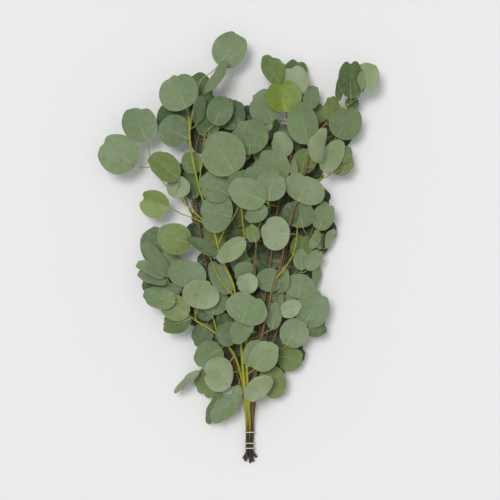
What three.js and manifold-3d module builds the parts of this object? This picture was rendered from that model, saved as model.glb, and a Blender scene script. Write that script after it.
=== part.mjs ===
// A bunch of silver-dollar eucalyptus: eight cut leafy branches held by one wound strand, lying on a table.
// Millimetres, +Z up, +Y from the cut ends to the leaf tips. The origin is at the table, under the middle of the bunch.

import * as THREE from "three";
import { mergeVertices } from "three/addons/utils/BufferGeometryUtils.js";
import Module from "manifold-3d";

// Driving dimensions
const BLADE_THICK = 0.8;
const PETIOLE_WIDE = 1.5;
const BUTT_RADIUS = 1.75;
const TIP_RADIUS = 0.95;
const TWIG_RADIUS = 1.05;
const STEM_SIDES = 5;
const TWIG_SIDES = 4;
const STEM_STEP = 34;
const TWIG_STEP = 20;

// How the branches are laid on each other
const CELL = 2;
const FIELD_X = -232;
const FIELD_Y = -332;
const COLUMNS = 232;
const ROWS = 332;
const BRANCH_GAP = 1.7;
const LEAF_GAP = 1.0;
const LEAF_GAP_MOST = 15;
const STEM_SLOPE = 0.3;
const FREE_FROM_Y = -214;
const SAMPLE = 4;
const EDGE = 1.6;
const STALK_REACH = 3;
const UNDER_DROP = -9;
const OVER_RISE = 3;
const SETTLE_GAIN = 0.25;
const SETTLE_TURNS = [[0, 0], [9, 0], [-9, 0], [0, 8], [0, -8], [7, 6], [-7, 6], [7, -6], [-7, -6], [16, 0], [-16, 0]];

// The tie and the packed bundle
const BUNDLE_X = 15.8;
const SLOT_WIDE = 4.0;
const SLOT_HIGH = 3.5;
const BUNDLE_LOW = 3.65;
const STRAND_RADIUS = 0.65;
const TIE_TOP_Y = -258;
const TIE_MIDDLE_Y = -273.5;
const TIE_LOW_Y = -280.5;
const TIE_ABOVE_Y = -251;
const TIE_BELOW_Y = -286;

// Leaf tones, as colours
const TONES = { grey: "#71866a", pale: "#8a9a7d", lime: "#6f8544", deep: "#3d5238" };
const STRAND_COLOUR = "#b9bd9c";

// The branches, from the lowest in the heap to the highest. slot is the stem's place in the bundle at the tie,
// butt its cut end, levels its height at the foot and the tip, and stem and twigs their routes seen from above.
// A leaf's row holds where its blade starts, its heading, length, width and tone, and then its roll and pitch
// where it stands steep. Angles are degrees; a leaf with no roll and pitch takes small drawn ones. rest leaves
// lie flat on the table, under leaves lie below their stem and over leaves on it. hidden is the spacing, the
// most and the least covered share of the drawn leaves behind the shown ones.
const BRANCHES = [
  {
    name: "branch_under_left",
    seed: 11,
    slot: [-1, 0],
    butt: [6.7, -296, 3.2],
    levels: [9, 9],
    stem: [[9.5, -222], [2, -192], [-9, -150], [-26, -95], [-43, -35], [-55, 30], [-62, 95], [-58, 150], [-44, 196]],
    twigs: [[[-55, 30], [-72, 62], [-80, 92]], [[-26, -95], [-52, -78], [-78, -60]]],
    rest: [[-28, -8, 20, 46, 42, "deep", 0, 0]],
    under: [
      [-4, 14, 172, 50, 32, "lime"],
      [-38, -60, 65, 44, 32, "deep"],
    ],
    over: [],
    hidden: [27, 16, 0.8],
  },
  {
    name: "branch_under_right",
    seed: 12,
    slot: [1, 0],
    butt: [25.2, -294, 2.6],
    levels: [9, 9],
    stem: [[22, -222], [27, -192], [34, -150], [45, -95], [60, -35], [74, 30], [84, 90], [98, 140], [116, 178]],
    twigs: [[[60, -35], [44, 0], [34, 34]], [[74, 30], [54, 62], [40, 100]]],
    under: [
      [16, -34, 135, 34, 28, "deep"],
      [46, -50, 95, 34, 28, "deep"],
      [60, 44, 120, 32, 28, "deep"],
    ],
    over: [],
    hidden: [27, 15, 0.8],
  },
  {
    name: "branch_top_centre",
    seed: 13,
    slot: [0, 0],
    butt: [16.4, -302, 2.2],
    levels: [14, 22],
    stem: [[17.5, -222], [20, -190], [25, -150], [33, -95], [43, -30], [52, 35], [60, 90], [69, 120], [80, 143],
      [76, 162], [68, 178], [65, 195], [62, 214], [60, 226]],
    twigs: [[[68, 178], [57, 180], [49, 178]], [[69, 120], [56, 128], [44, 140], [38, 152]],
      [[65, 195], [78, 200], [90, 204]]],
    under: [
      [66, 144, 85, 34, 30, "deep"],
      [74, 228, 75, 42, 36, "deep"],
      [42, 154, 62, 32, 26, "deep", 56, 0],
      [100, 182, 35, 32, 28, "lime"],
    ],
    over: [
      [38, 70, 95, 44, 44, "grey"],
      [42, 92, 150, 40, 36, "grey"],
      [60, 116, 158, 46, 38, "lime"],
      [66, 128, 110, 38, 34, "pale"],
      [42, 164, 110, 24, 18, "grey"],
      [48, 178, 118, 50, 46, "grey"],
      [90, 200, 60, 32, 26, "grey"],
      [98, 196, 75, 34, 26, "grey", 30, 0],
      [64, 236, 108, 28, 20, "lime"],
      [70, 214, 70, 46, 42, "pale"],
      [57, 230, 115, 46, 38, "lime", 34, 0],
      [65, 191, 98, 46, 48, "lime"],
    ],
    hidden: [34, 0, 0.86],
  },
  {
    name: "branch_left_low",
    seed: 14,
    slot: [-0.5, 1],
    butt: [9, -299, 6.6],
    levels: [13, 20],
    stem: [[10.5, -227], [7, -205], [3.7, -178], [0, -163], [-4.5, -150], [-15, -137], [-30, -120], [-45, -108],
      [-59, -100], [-75, -90], [-88, -73], [-96, -58], [-100, -40]],
    twigs: [[[-59, -100], [-62, -78], [-66, -56], [-80, -42]], [[-4.5, -150], [-16, -163], [-26, -178], [-30, -192]],
      [[-30, -120], [-33, -104], [-38, -92]]],
    under: [
      [-98, -30, 117, 70, 46, "deep"],
      [-84, -32, 135, 38, 32, "lime"],
      [-93, -66, 155, 48, 34, "deep", 32, 0],
      [-45, -105, 250, 38, 30, "deep"],
      [-14, -124, 110, 38, 28, "deep"],
      [-36, -96, 140, 28, 26, "deep"],
      [-20, -178, 205, 46, 44, "lime"],
      [-27, -203, 246, 50, 15, "deep", 24, 0],
    ],
    over: [
      [-80, -56, 178, 30, 22, "grey", 46, 0],
      [-100, -48, 160, 46, 30, "pale", 58, 0],
      [-102, -38, 155, 46, 30, "grey", 58, 5],
      [-94, -38, 128, 64, 34, "grey", 58, 5],
      [-70, -92, 150, 44, 36, "lime"],
      [-88, -74, 163, 48, 32, "grey", 18, 0],
      [-66, -97, 195, 44, 32, "lime", 20, 0],
      [-36, -92, 80, 40, 38, "grey"],
      [-75, -54, 80, 42, 54, "grey"],
      [-57, -83, 76, 43, 52, "pale"],
      [-24, -138, 212, 44, 40, "grey"],
      [-55, -170, 222, 48, 22, "pale", 62, 0],
      [-6, -197, 236, 56, 38, "lime"],
      [0, -190, 262, 28, 16, "grey"],
      [-7, -172, 185, 44, 50, "grey"],
    ],
    hidden: [34, 0, 0.86],
  },
  {
    name: "branch_right_low",
    seed: 15,
    slot: [0.5, 1],
    butt: [20.6, -300, 6.2],
    levels: [14, 20],
    stem: [[19.5, -223], [26, -205], [35, -172], [44, -142], [53, -117], [62, -97], [66, -70], [66, -47],
      [73, -37], [82, -28], [92, -8], [99, 12], [105, 34]],
    twigs: [[[62, -97], [76, -92], [90, -84]], [[92, -8], [106, -6], [116, 0]]],
    under: [
      [92, -112, 10, 34, 30, "deep"],
      [60, -84, 75, 38, 34, "lime"],
      [56, -150, -8, 36, 38, "lime"],
      [108, -52, 86, 46, 24, "grey", 60, 0],
    ],
    over: [
      [42, -164, -75, 48, 38, "lime"],
      [84, -14, 75, 38, 32, "lime"],
      [112, 0, 80, 24, 18, "grey", 46, 0],
      [102, 0, 75, 30, 22, "pale", 52, 0],
      [120, 2, 60, 34, 24, "grey", 30, 0],
      [112, 26, 72, 44, 32, "grey", 20, 0],
      [90, 30, 100, 40, 43, "grey"],
      [88, -30, 95, 32, 24, "pale", 25, 0],
      [96, -29, 55, 34, 26, "pale", 35, 0],
      [84, -69, 85, 36, 42, "grey"],
      [91, -107, 62, 56, 46, "grey"],
      [58, -90, 25, 34, 24, "pale"],
      [66, -134, 55, 44, 40, "grey"],
    ],
    hidden: [34, 0, 0.86],
  },
  {
    name: "branch_right_high",
    seed: 16,
    slot: [1, 2],
    butt: [23.4, -291, 11.4],
    levels: [20, 34],
    stem: [[18.5, -228], [18, -208], [23, -180], [28, -150], [32, -125], [36, -97], [42, -80], [46, -60], [51, -41],
      [58, -24], [62, -5], [66, 18], [72, 42], [81, 64], [86, 88], [93, 110], [99, 134], [106, 154], [119, 170],
      [128, 188], [138, 208]],
    twigs: [[[51, -41], [66, -24], [75, -10], [80, 8], [82, 34]], [[99, 134], [112, 136], [126, 142]],
      [[86, 88], [104, 94], [122, 100], [140, 110]],
      [[128, 188], [144, 196], [160, 206]]],
    under: [
      [58, -62, 85, 40, 26, "grey"],
      [60, -44, 178, 36, 34, "grey"],
      [48, -112, 88, 40, 22, "grey"],
      [72, 34, 88, 34, 22, "deep"],
      [88, 106, 80, 36, 34, "lime"],
      [130, 112, 20, 34, 30, "lime"],
      [150, 200, 20, 20, 20, "deep"],
      [146, 120, 75, 26, 20, "grey", 30, 0],
    ],
    over: [
      [78, 100, 92, 26, 16, "pale", 45, 0],
      [66, 96, 140, 54, 48, "grey"],
      [82, 66, 62, 42, 58, "grey"],
      [118, 107, 62, 52, 34, "pale", 26, 0],
      [96, 146, 105, 62, 48, "grey", -30, 0],
      [108, 119, 80, 52, 34, "pale", -48, 5],
      [132, 176, 95, 38, 26, "lime", 20, 0],
      [139, 205, 84, 40, 18, "lime", 50, 0],
      [171, 218, 74, 45, 40, "grey"],
      [156, 209, 88, 54, 42, "deep", 28, 0],
      [171, 221, 92, 27, 15, "pale", 45, 0],
      [136, 156, 55, 49, 49, "grey"],
      [71, 21, 178, 41, 48, "pale"],
    ],
    hidden: [44, 0, 0.86],
  },
  {
    name: "branch_left_high",
    seed: 17,
    slot: [-1, 2],
    butt: [12.4, -293, 10.6],
    levels: [22, 36],
    stem: [[12, -228], [9.5, -205], [6.7, -170], [4.5, -144], [1, -108], [-3.6, -65], [-9.7, -43], [-20, -24],
      [-28, 6], [-36, 28], [-46, 60], [-55, 86], [-61, 112], [-66, 138], [-68, 162], [-69, 184]],
    twigs: [[[-68, 162], [-64, 190], [-56, 222], [-50, 240], [-38, 246]], [[-28, 6], [-18, 28], [-6, 46], [2, 64]],
      [[-36, 28], [-58, 48], [-82, 70], [-104, 92], [-118, 110], [-124, 130]],
      [[-55, 86], [-52, 116], [-49, 142], [-46, 162]], [[-9.7, -43], [-26, -34], [-42, -10], [-56, 4]],
      [[-36, 28], [-58, 41], [-80, 49]]],
    under: [
      [-52, 203, 100, 46, 40, "deep"],
      [-76, 163, 125, 50, 52, "deep"],
      [-70, 153, 150, 48, 45, "deep"],
      [-22, 170, 60, 46, 42, "deep"],
      [-43, 180, 95, 40, 36, "deep"],
      [-40, 157, 100, 36, 34, "deep"],
      [-62, 70, 105, 42, 26, "deep"],
      [-60, 106, 108, 34, 30, "lime"],
      [-12, -62, 118, 54, 30, "grey"],
    ],
    over: [
      [-58, 175, 80, 40, 32, "grey", 58, 5],
      [-79, 71, 107, 33, 32, "pale"],
      [-84, 97, 140, 52, 44, "lime", 34, 5],
      [-97, 58, 163, 44, 38, "lime"],
      [-143, 116, 145, 60, 56, "grey"],
      [-127, 149, 113, 55, 48, "grey"],
      [-66, 8, 165, 50, 44, "lime"],
      [-28, -9, 149, 53, 26, "grey", 52, 0],
      [-34, 173, 65, 45, 37, "grey"],
      [-72, 194, 114, 54, 58, "grey"],
      [-27, 256, 56, 54, 47, "grey"],
      [-46, 220, 57, 55, 40, "pale", -56, 8],
      [-9, 44, 165, 46, 56, "grey"],
      [-12, 74, 150, 50, 42, "grey"],
    ],
    hidden: [40, 0, 0.86],
  },
  {
    name: "branch_centre",
    seed: 18,
    slot: [0, 2],
    butt: [17.2, -297, 10.9],
    levels: [26, 42],
    stem: [[14.5, -228], [13, -195], [11, -150], [12, -110], [13, -60], [11, -20], [8, 20], [4, 60], [1, 96],
      [8, 120], [15, 134]],
    twigs: [[[13, -60], [22, -20], [26, 12], [30, 36], [42, 58]]],
    under: [
      [0, -122, 165, 34, 34, "deep"],
      [24, -34, 172, 34, 28, "grey"],
      [16, -14, 205, 42, 34, "deep"],
    ],
    over: [
      [16, 131, 93, 52, 56, "grey"],
      [24, 81, 150, 44, 36, "grey"],
      [34, 80, 118, 40, 38, "grey"],
      [42, 66, 84, 45, 43, "grey"],
      [-6, 105, 120, 64, 62, "grey"],
      [24, 10, 110, 26, 20, "lime"],
      [40, 56, 205, 36, 26, "grey", -30, 0],
      [37, 65, 155, 56, 43, "pale"],
      [9, 14, 221, 50, 27, "pale"],
      [27, -51, 167, 31, 28, "pale"],
      [19, -113, 158, 40, 50, "grey", 0, -38],
      [5, -103, 70, 45, 62, "grey"],
      [13, -163, 70, 42, 26, "grey"],
      [22, -167, 54, 50, 38, "pale"],
      [36, -204, 128, 30, 46, "pale"],
    ],
    hidden: [40, 0, 0.86],
  },
];

// The leaf's own form
const LARGE_LEAF = 50;
const LARGE_ROWS = [0.5, 0.98, 1.5, 2.08, 2.66];
const SMALL_ROWS = [0.6, 1.22, 1.9, 2.6];
const MID_ANGLES = [0.9, 2.15];
const NOTCH_ANGLE = 0.34;
const HIDDEN_LENGTH = [36, 50];
const HIDDEN_REACH = [14, 34];

const wasm = await Module();
wasm.setup();

const radians = (degrees) => (degrees * Math.PI) / 180;

// Repeatable draws between 0 and 1 from a whole-number seed.
function drawsFrom(seed) {
  let state = seed >>> 0;
  return () => {
    state = (state + 0x6d2b79f5) >>> 0;
    let t = state;
    t = Math.imul(t ^ (t >>> 15), t | 1);
    t ^= t + Math.imul(t ^ (t >>> 7), t | 61);
    return ((t ^ (t >>> 14)) >>> 0) / 4294967296;
  };
}

// A closed mesh as a solid, its shared vertices merged.
function solid(geometry) {
  const bare = geometry.clone();
  bare.deleteAttribute("normal");
  bare.deleteAttribute("uv");
  const merged = mergeVertices(bare, 1e-4);
  return new wasm.Manifold(
    new wasm.Mesh({
      numProp: 3,
      vertProperties: new Float32Array(merged.attributes.position.array),
      triVerts: new Uint32Array(merged.index.array),
    }),
  );
}

function geometryOf(made) {
  const mesh = made.getMesh();
  const geometry = new THREE.BufferGeometry();
  geometry.setAttribute("position", new THREE.BufferAttribute(mesh.vertProperties, 3));
  geometry.setIndex(new THREE.BufferAttribute(mesh.triVerts, 1));
  geometry.computeVertexNormals();
  return geometry;
}

function meshGeometry(points, triangles) {
  const geometry = new THREE.BufferGeometry();
  geometry.setAttribute(
    "position",
    new THREE.BufferAttribute(new Float32Array(points.flatMap((p) => [p.x, p.y, p.z])), 3),
  );
  geometry.setIndex(triangles.flat());
  return geometry;
}

// A round stem whose radius runs from the first to the last value along the points.
function taperedTube(points, fromRadius, toRadius, sides) {
  const rings = [];
  for (let i = 0; i < points.length; i++) {
    const before = points[Math.max(0, i - 1)];
    const after = points[Math.min(points.length - 1, i + 1)];
    const along = after.clone().sub(before).normalize();
    const across = new THREE.Vector3(along.y, -along.x, 0).normalize();
    const up = across.clone().cross(along).normalize();
    const radius = fromRadius + ((toRadius - fromRadius) * i) / (points.length - 1);
    for (let k = 0; k < sides; k++) {
      const turn = (2 * Math.PI * (k + 0.5)) / sides;
      rings.push(
        points[i]
          .clone()
          .addScaledVector(across, radius * Math.cos(turn))
          .addScaledVector(up, radius * Math.sin(turn)),
      );
    }
  }
  const triangles = [];
  for (let i = 0; i + 1 < points.length; i++)
    for (let k = 0; k < sides; k++) {
      const a = i * sides + k;
      const b = i * sides + ((k + 1) % sides);
      triangles.push([a, a + sides, b], [b, a + sides, b + sides]);
    }
  const last = (points.length - 1) * sides;
  for (let k = 1; k + 1 < sides; k++) triangles.push([0, k, k + 1], [last, last + k + 1, last + k]);
  return meshGeometry(rings, triangles);
}

// The heap's height over the table, cell by cell, as the branches are laid on it.
class HeapField {
  constructor() {
    this.height = new Float64Array(COLUMNS * ROWS);
  }

  copy() {
    const twin = new HeapField();
    twin.height.set(this.height);
    return twin;
  }

  // Calls visit(cell, low, high) for each cell that a triangle covers, with the triangle's heights there.
  static eachCell(a, b, c, visit) {
    const turn = (b.x - a.x) * (c.y - a.y) - (b.y - a.y) * (c.x - a.x);
    if (Math.abs(turn) < 1e-9) return;
    const slopeX = ((b.z - a.z) * (c.y - a.y) - (c.z - a.z) * (b.y - a.y)) / turn;
    const slopeY = ((c.z - a.z) * (b.x - a.x) - (b.z - a.z) * (c.x - a.x)) / turn;
    const spread = ((Math.abs(slopeX) + Math.abs(slopeY)) * CELL) / 2;
    const least = Math.min(a.z, b.z, c.z);
    const most = Math.max(a.z, b.z, c.z);
    const ordered = turn > 0 ? [a, b, c] : [a, c, b];
    const fromColumn = Math.floor((Math.min(a.x, b.x, c.x) - EDGE - FIELD_X) / CELL);
    const toColumn = Math.floor((Math.max(a.x, b.x, c.x) + EDGE - FIELD_X) / CELL);
    const fromRow = Math.floor((Math.min(a.y, b.y, c.y) - EDGE - FIELD_Y) / CELL);
    const toRow = Math.floor((Math.max(a.y, b.y, c.y) + EDGE - FIELD_Y) / CELL);
    for (let row = fromRow; row <= toRow; row++)
      for (let column = fromColumn; column <= toColumn; column++) {
        const x = FIELD_X + (column + 0.5) * CELL;
        const y = FIELD_Y + (row + 0.5) * CELL;
        const inside = ordered.every((p, i) => {
          const q = ordered[(i + 1) % 3];
          const long = Math.hypot(q.x - p.x, q.y - p.y);
          return ((q.x - p.x) * (y - p.y) - (q.y - p.y) * (x - p.x)) / long > -EDGE;
        });
        if (!inside) continue;
        const z = a.z + slopeX * (x - a.x) + slopeY * (y - a.y);
        const low = Math.min(most, Math.max(least, z - spread));
        const high = Math.max(least, Math.min(most, z + spread));
        visit(row * COLUMNS + column, low, high);
      }
  }

  // The lift that brings the triangles clear of the heap by gap.
  liftFor(points, triangles, gap) {
    let lift = -Infinity;
    for (const [i, j, k] of triangles)
      HeapField.eachCell(points[i], points[j], points[k], (cell, low) => {
        const floor = this.height[cell] > 0 ? this.height[cell] + gap : 0;
        lift = Math.max(lift, floor - low);
      });
    return lift;
  }

  lay(points, triangles) {
    for (const [i, j, k] of triangles)
      HeapField.eachCell(points[i], points[j], points[k], (cell, low, high) => {
        this.height[cell] = Math.max(this.height[cell], high);
      });
  }

  // The highest of the heap within reach of a point.
  highest(x, y, reach) {
    const fromColumn = Math.floor((x - reach - FIELD_X) / CELL);
    const toColumn = Math.floor((x + reach - FIELD_X) / CELL);
    const fromRow = Math.floor((y - reach - FIELD_Y) / CELL);
    const toRow = Math.floor((y + reach - FIELD_Y) / CELL);
    let most = 0;
    for (let row = fromRow; row <= toRow; row++)
      for (let column = fromColumn; column <= toColumn; column++)
        most = Math.max(most, this.height[row * COLUMNS + column]);
    return most;
  }

  // Adds a round stretch between two points.
  layTube(from, to, radius) {
    const steps = Math.max(1, Math.ceil(Math.hypot(to.x - from.x, to.y - from.y) / CELL));
    for (let i = 0; i <= steps; i++) {
      const p = from.clone().lerp(to, i / steps);
      const reach = radius + EDGE;
      const fromColumn = Math.floor((p.x - reach - FIELD_X) / CELL);
      const toColumn = Math.floor((p.x + reach - FIELD_X) / CELL);
      const fromRow = Math.floor((p.y - reach - FIELD_Y) / CELL);
      const toRow = Math.floor((p.y + reach - FIELD_Y) / CELL);
      for (let row = fromRow; row <= toRow; row++)
        for (let column = fromColumn; column <= toColumn; column++) {
          const cell = row * COLUMNS + column;
          this.height[cell] = Math.max(this.height[cell], p.z + radius);
        }
    }
  }
}

// A leaf's own axes from its heading, pitch and roll: along the midrib, across it, and out of its face.
function leafAxes(heading, pitch, roll) {
  const along = new THREE.Vector3(
    Math.cos(heading) * Math.cos(pitch),
    Math.sin(heading) * Math.cos(pitch),
    Math.sin(pitch),
  );
  const level = new THREE.Vector3(-Math.sin(heading), Math.cos(heading), 0);
  const out = along.clone().cross(level);
  const across = level.clone().multiplyScalar(Math.cos(roll)).addScaledVector(out, Math.sin(roll));
  return { along, across, out: along.clone().cross(across) };
}

// A leaf row of the table with its drawn roll, pitch, fold, curl and notch filled in.
function leafFrom(row, draw) {
  const [x, y, heading, length, width, tone, roll, pitch] = row;
  const drawn = [draw(), draw(), draw(), draw(), draw()];
  return {
    x,
    y,
    heading: radians(heading),
    length,
    width,
    tone,
    free: pitch === undefined,
    roll: radians(roll ?? (drawn[0] - 0.5) * 26),
    pitch: radians(pitch ?? (drawn[1] - 0.55) * 16),
    fold: 0.04 + 0.12 * drawn[2],
    curl: (drawn[3] - 0.62) * 0.16,
    notch: 0.015 + 0.075 * drawn[4],
  };
}

// A point of the blade's face, from the angle along its outline and the share of its half width: the outline
// is near a circle, drawn in at the notch, folded up from the midrib and curled along it.
function bladePoint(leaf, axes, angle, share) {
  const notch = leaf.notch * Math.exp(-(((Math.PI - angle) / NOTCH_ANGLE) ** 2));
  const u = leaf.length * ((1 - Math.cos(angle)) / 2 - notch);
  const v = (share * leaf.width * Math.sin(angle) * (1 + 0.1 * Math.cos(angle))) / 2;
  const t = u / leaf.length;
  const w = leaf.fold * Math.abs(v) + leaf.curl * leaf.length * 4 * (t - t * t);
  return new THREE.Vector3(leaf.x, leaf.y, 0)
    .addScaledVector(axes.along, u)
    .addScaledVector(axes.across, v)
    .addScaledVector(axes.out, w);
}

// The face of a leaf blade: its outline in rows from the stalk to the tip, and two points on the midrib.
// Point 0 and 1 are the stalk's left and right, then each row's left and right, the tip, and the midrib's points.
function faceOf(rows) {
  const left = (k) => 2 + 2 * k;
  const right = (k) => 3 + 2 * k;
  const tip = 2 + 2 * rows;
  const mid = (k) => tip + (k < rows / 2 - 0.5 ? 1 : 2);
  const triangles = [[1, right(0), mid(0)], [1, mid(0), 0], [0, mid(0), left(0)]];
  for (let k = 0; k + 1 < rows; k++) {
    triangles.push([right(k), right(k + 1), mid(k)], [mid(k), left(k + 1), left(k)]);
    if (mid(k) !== mid(k + 1)) triangles.push([mid(k), right(k + 1), mid(k + 1)], [mid(k), mid(k + 1), left(k + 1)]);
  }
  triangles.push([mid(rows - 1), right(rows - 1), tip], [mid(rows - 1), tip, left(rows - 1)]);
  const rim = [1];
  for (let k = 0; k < rows; k++) rim.push(right(k));
  rim.push(tip);
  for (let k = rows - 1; k >= 0; k--) rim.push(left(k));
  rim.push(0);
  return { triangles, rim };
}

const LARGE_FACE = faceOf(LARGE_ROWS.length);
const SMALL_FACE = faceOf(SMALL_ROWS.length);

function bladeFace(leaf) {
  const large = leaf.length >= LARGE_LEAF;
  const rows = large ? LARGE_ROWS : SMALL_ROWS;
  const axes = leafAxes(leaf.heading, leaf.pitch, leaf.roll);
  const half = PETIOLE_WIDE / 2;
  const base = new THREE.Vector3(leaf.x, leaf.y, 0);
  const points = [base.clone().addScaledVector(axes.across, half), base.clone().addScaledVector(axes.across, -half)];
  for (const angle of rows) points.push(bladePoint(leaf, axes, angle, 1), bladePoint(leaf, axes, angle, -1));
  points.push(bladePoint(leaf, axes, Math.PI, 0));
  for (const angle of MID_ANGLES) points.push(bladePoint(leaf, axes, angle, 0));
  return { axes, points, ...(large ? LARGE_FACE : SMALL_FACE) };
}

// The closed solid of a blade and its stalk, which runs back through a middle place to the twig.
function leafSolid(leaf, face, stalk) {
  const half = PETIOLE_WIDE / 2;
  const thick = BLADE_THICK / 2;
  const tops = face.points.map((p) => p.clone().addScaledVector(face.axes.out, thick));
  const bottoms = face.points.map((p) => p.clone().addScaledVector(face.axes.out, -thick));
  for (let i = 1; i < stalk.length; i++) {
    const along = stalk[i - 1].clone().sub(stalk[Math.min(i + 1, stalk.length - 1)]).normalize();
    const across = new THREE.Vector3(-along.y, along.x, 0).normalize();
    if (across.dot(face.axes.across) < 0) across.negate();
    const out = along.clone().cross(across).normalize();
    for (const side of [half, -half]) {
      tops.push(stalk[i].clone().addScaledVector(across, side).addScaledVector(out, thick));
      bottoms.push(stalk[i].clone().addScaledVector(across, side).addScaledVector(out, -thick));
    }
  }
  const first = face.points.length;
  const triangles = [...face.triangles];
  const rim = [...face.rim];
  let [left, right] = [0, 1];
  for (let i = 1; i < stalk.length; i++) {
    const [nextLeft, nextRight] = [first + 2 * (i - 1), first + 2 * (i - 1) + 1];
    triangles.push([nextLeft, nextRight, right], [nextLeft, right, left]);
    rim.push(nextLeft);
    rim.unshift(nextRight);
    [left, right] = [nextLeft, nextRight];
  }
  const count = tops.length;
  const faces = [...triangles, ...triangles.map(([a, b, c]) => [a + count, c + count, b + count])];
  rim.forEach((p, i) => {
    const q = rim[(i + 1) % rim.length];
    faces.push([p, p + count, q + count], [p, q + count, q]);
  });
  return solid(meshGeometry([...tops, ...bottoms], faces));
}

// Points a set distance apart along a smooth curve through the given ones.
function evenly(points, step) {
  const curve = new THREE.CatmullRomCurve3(points, false, "centripetal");
  const count = Math.max(2, Math.round(curve.getLength() / step));
  return curve.getSpacedPoints(count);
}

// Raises the free points of a stem clear of the heap, with no slope steeper than STEM_SLOPE beside a raised one.
function raised(points, radius, field, held) {
  const need = points.map((p) => p.z);
  for (let i = 0; i + 1 < points.length; i++) {
    const [from, to] = [points[i], points[i + 1]];
    const steps = Math.max(1, Math.ceil(from.distanceTo(to) / SAMPLE));
    for (let k = 0; k <= steps; k++) {
      const p = from.clone().lerp(to, k / steps);
      if (p.y < FREE_FROM_Y) continue;
      const least = field.highest(p.x, p.y, radius + EDGE) + BRANCH_GAP + radius;
      need[i] = Math.max(need[i], least);
      need[i + 1] = Math.max(need[i + 1], least);
    }
  }
  const along = [0];
  for (let i = 1; i < points.length; i++) along.push(along[i - 1] + points[i].distanceTo(points[i - 1]));
  return points.map((p, i) => {
    if (held(i, p)) return p.clone();
    const z = Math.max(...need.map((n, j) => n - STEM_SLOPE * Math.abs(along[i] - along[j])));
    return new THREE.Vector3(p.x, p.y, z);
  });
}

// The place of a branch's stem in the packed bundle at the tie.
function slotPlace([across, row]) {
  return [BUNDLE_X + across * SLOT_WIDE, BUNDLE_LOW + row * SLOT_HIGH];
}

// A stem from its cut end, straight through the tie, and then up to its branch's level.
function stemRoute(branch, field) {
  const [slotX, slotZ] = slotPlace(branch.slot);
  const [level, tip] = branch.levels;
  const butt = new THREE.Vector3(...branch.butt);
  const tied = [new THREE.Vector3(slotX, TIE_BELOW_Y, slotZ), new THREE.Vector3(slotX, TIE_ABOVE_Y, slotZ)];
  const points = branch.stem.map(([x, y], i) => {
    const share = i / (branch.stem.length - 1);
    const opened = THREE.MathUtils.smoothstep(y, TIE_ABOVE_Y, -130);
    const z = slotZ + (level - BUNDLE_LOW) * opened + (tip - level) * share * share;
    return new THREE.Vector3(x, y, z);
  });
  const free = evenly([tied[1], ...points], STEM_STEP);
  const upper = raised(free, BUTT_RADIUS, field, (i) => i === 0);
  return [butt, tied[0], ...upper];
}

// A twig from its place on the branch, which is the first of its points.
function twigRoute(points, lines, tip, field) {
  const [x, y] = points[0];
  const start = nearest(lines, new THREE.Vector3(x, y, 0)).place;
  const flat = points.map(([px, py], i) => {
    const share = i / (points.length - 1);
    return new THREE.Vector3(px, py, start.z + (tip - start.z) * share * 0.6);
  });
  flat[0].copy(start);
  return raised(evenly(flat, TWIG_STEP), TWIG_RADIUS, field, (i) => i === 0);
}

// The place on the branch's lines nearest to a point, seen from above.
function nearest(lines, point) {
  let best = { far: Infinity, place: null };
  for (const line of lines)
    for (let i = 0; i + 1 < line.length; i++) {
      const [a, b] = [line[i], line[i + 1]];
      const [dx, dy] = [b.x - a.x, b.y - a.y];
      const share = ((point.x - a.x) * dx + (point.y - a.y) * dy) / (dx * dx + dy * dy);
      const place = a.clone().lerp(b, Math.min(1, Math.max(0, share)));
      const far = Math.hypot(place.x - point.x, place.y - point.y);
      if (far < best.far) best = { far, place };
    }
  return best;
}

// Where the shown leaves cover the table, so that the drawn ones stay behind them.
function shownCells() {
  const cells = new Set();
  for (const branch of BRANCHES)
    for (const row of [...branch.under, ...branch.over]) {
      const { points, triangles } = bladeFace(leafFrom(row, () => 0.5));
      for (const [i, j, k] of triangles)
        HeapField.eachCell(points[i], points[j], points[k], (cell) => cells.add(cell));
    }
  return cells;
}

// The drawn leaves of a branch: alternate sides along its lines, kept where the shown leaves cover them.
function hiddenRows(branch, lines, draw, shown) {
  const [spacing, most, share] = branch.hidden;
  const rows = [];
  for (const line of lines) {
    const curve = new THREE.CatmullRomCurve3(line, false, "centripetal");
    const long = curve.getLength();
    let side = 1;
    for (let s = spacing * 0.6; s < long; s += spacing) {
      const at = curve.getPointAt(s / long);
      const way = curve.getTangentAt(s / long);
      side = -side;
      const [a, b, c, d, e] = [draw(), draw(), draw(), draw(), draw()];
      if (at.y < FREE_FROM_Y + 30 || rows.length >= most) continue;
      const heading = Math.atan2(way.y, way.x) + side * radians(35 + 50 * a);
      const reach = HIDDEN_REACH[0] + (HIDDEN_REACH[1] - HIDDEN_REACH[0]) * b;
      const length = HIDDEN_LENGTH[0] + (HIDDEN_LENGTH[1] - HIDDEN_LENGTH[0]) * c;
      const row = [
        at.x + reach * Math.cos(heading),
        at.y + reach * Math.sin(heading),
        (heading * 180) / Math.PI + 30 * (d - 0.5),
        length,
        length * (0.8 + 0.25 * e),
        "deep",
      ];
      const { points, triangles } = bladeFace(leafFrom(row, () => 0.5));
      let [all, covered] = [0, 0];
      for (const [i, j, k] of triangles)
        HeapField.eachCell(points[i], points[j], points[k], (cell) => {
          all += 1;
          covered += shown.has(cell) ? 1 : 0;
        });
      if (covered >= share * all) rows.push(row);
    }
  }
  return rows;
}

// A leaf turned a little, where its tilt is free, to the one of its tilts that lies lowest on the heap.
function settled(leaf, now) {
  if (!leaf.free) return leaf;
  let best = { lift: Infinity, leaf };
  for (const [roll, pitch] of SETTLE_TURNS) {
    const turned = { ...leaf, roll: leaf.roll + radians(roll), pitch: leaf.pitch + radians(pitch) };
    const face = bladeFace(turned);
    const lift = now.liftFor(face.points, face.triangles, LEAF_GAP);
    if (lift < best.lift - SETTLE_GAIN) best = { lift, leaf: turned };
  }
  return best.leaf;
}

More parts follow.
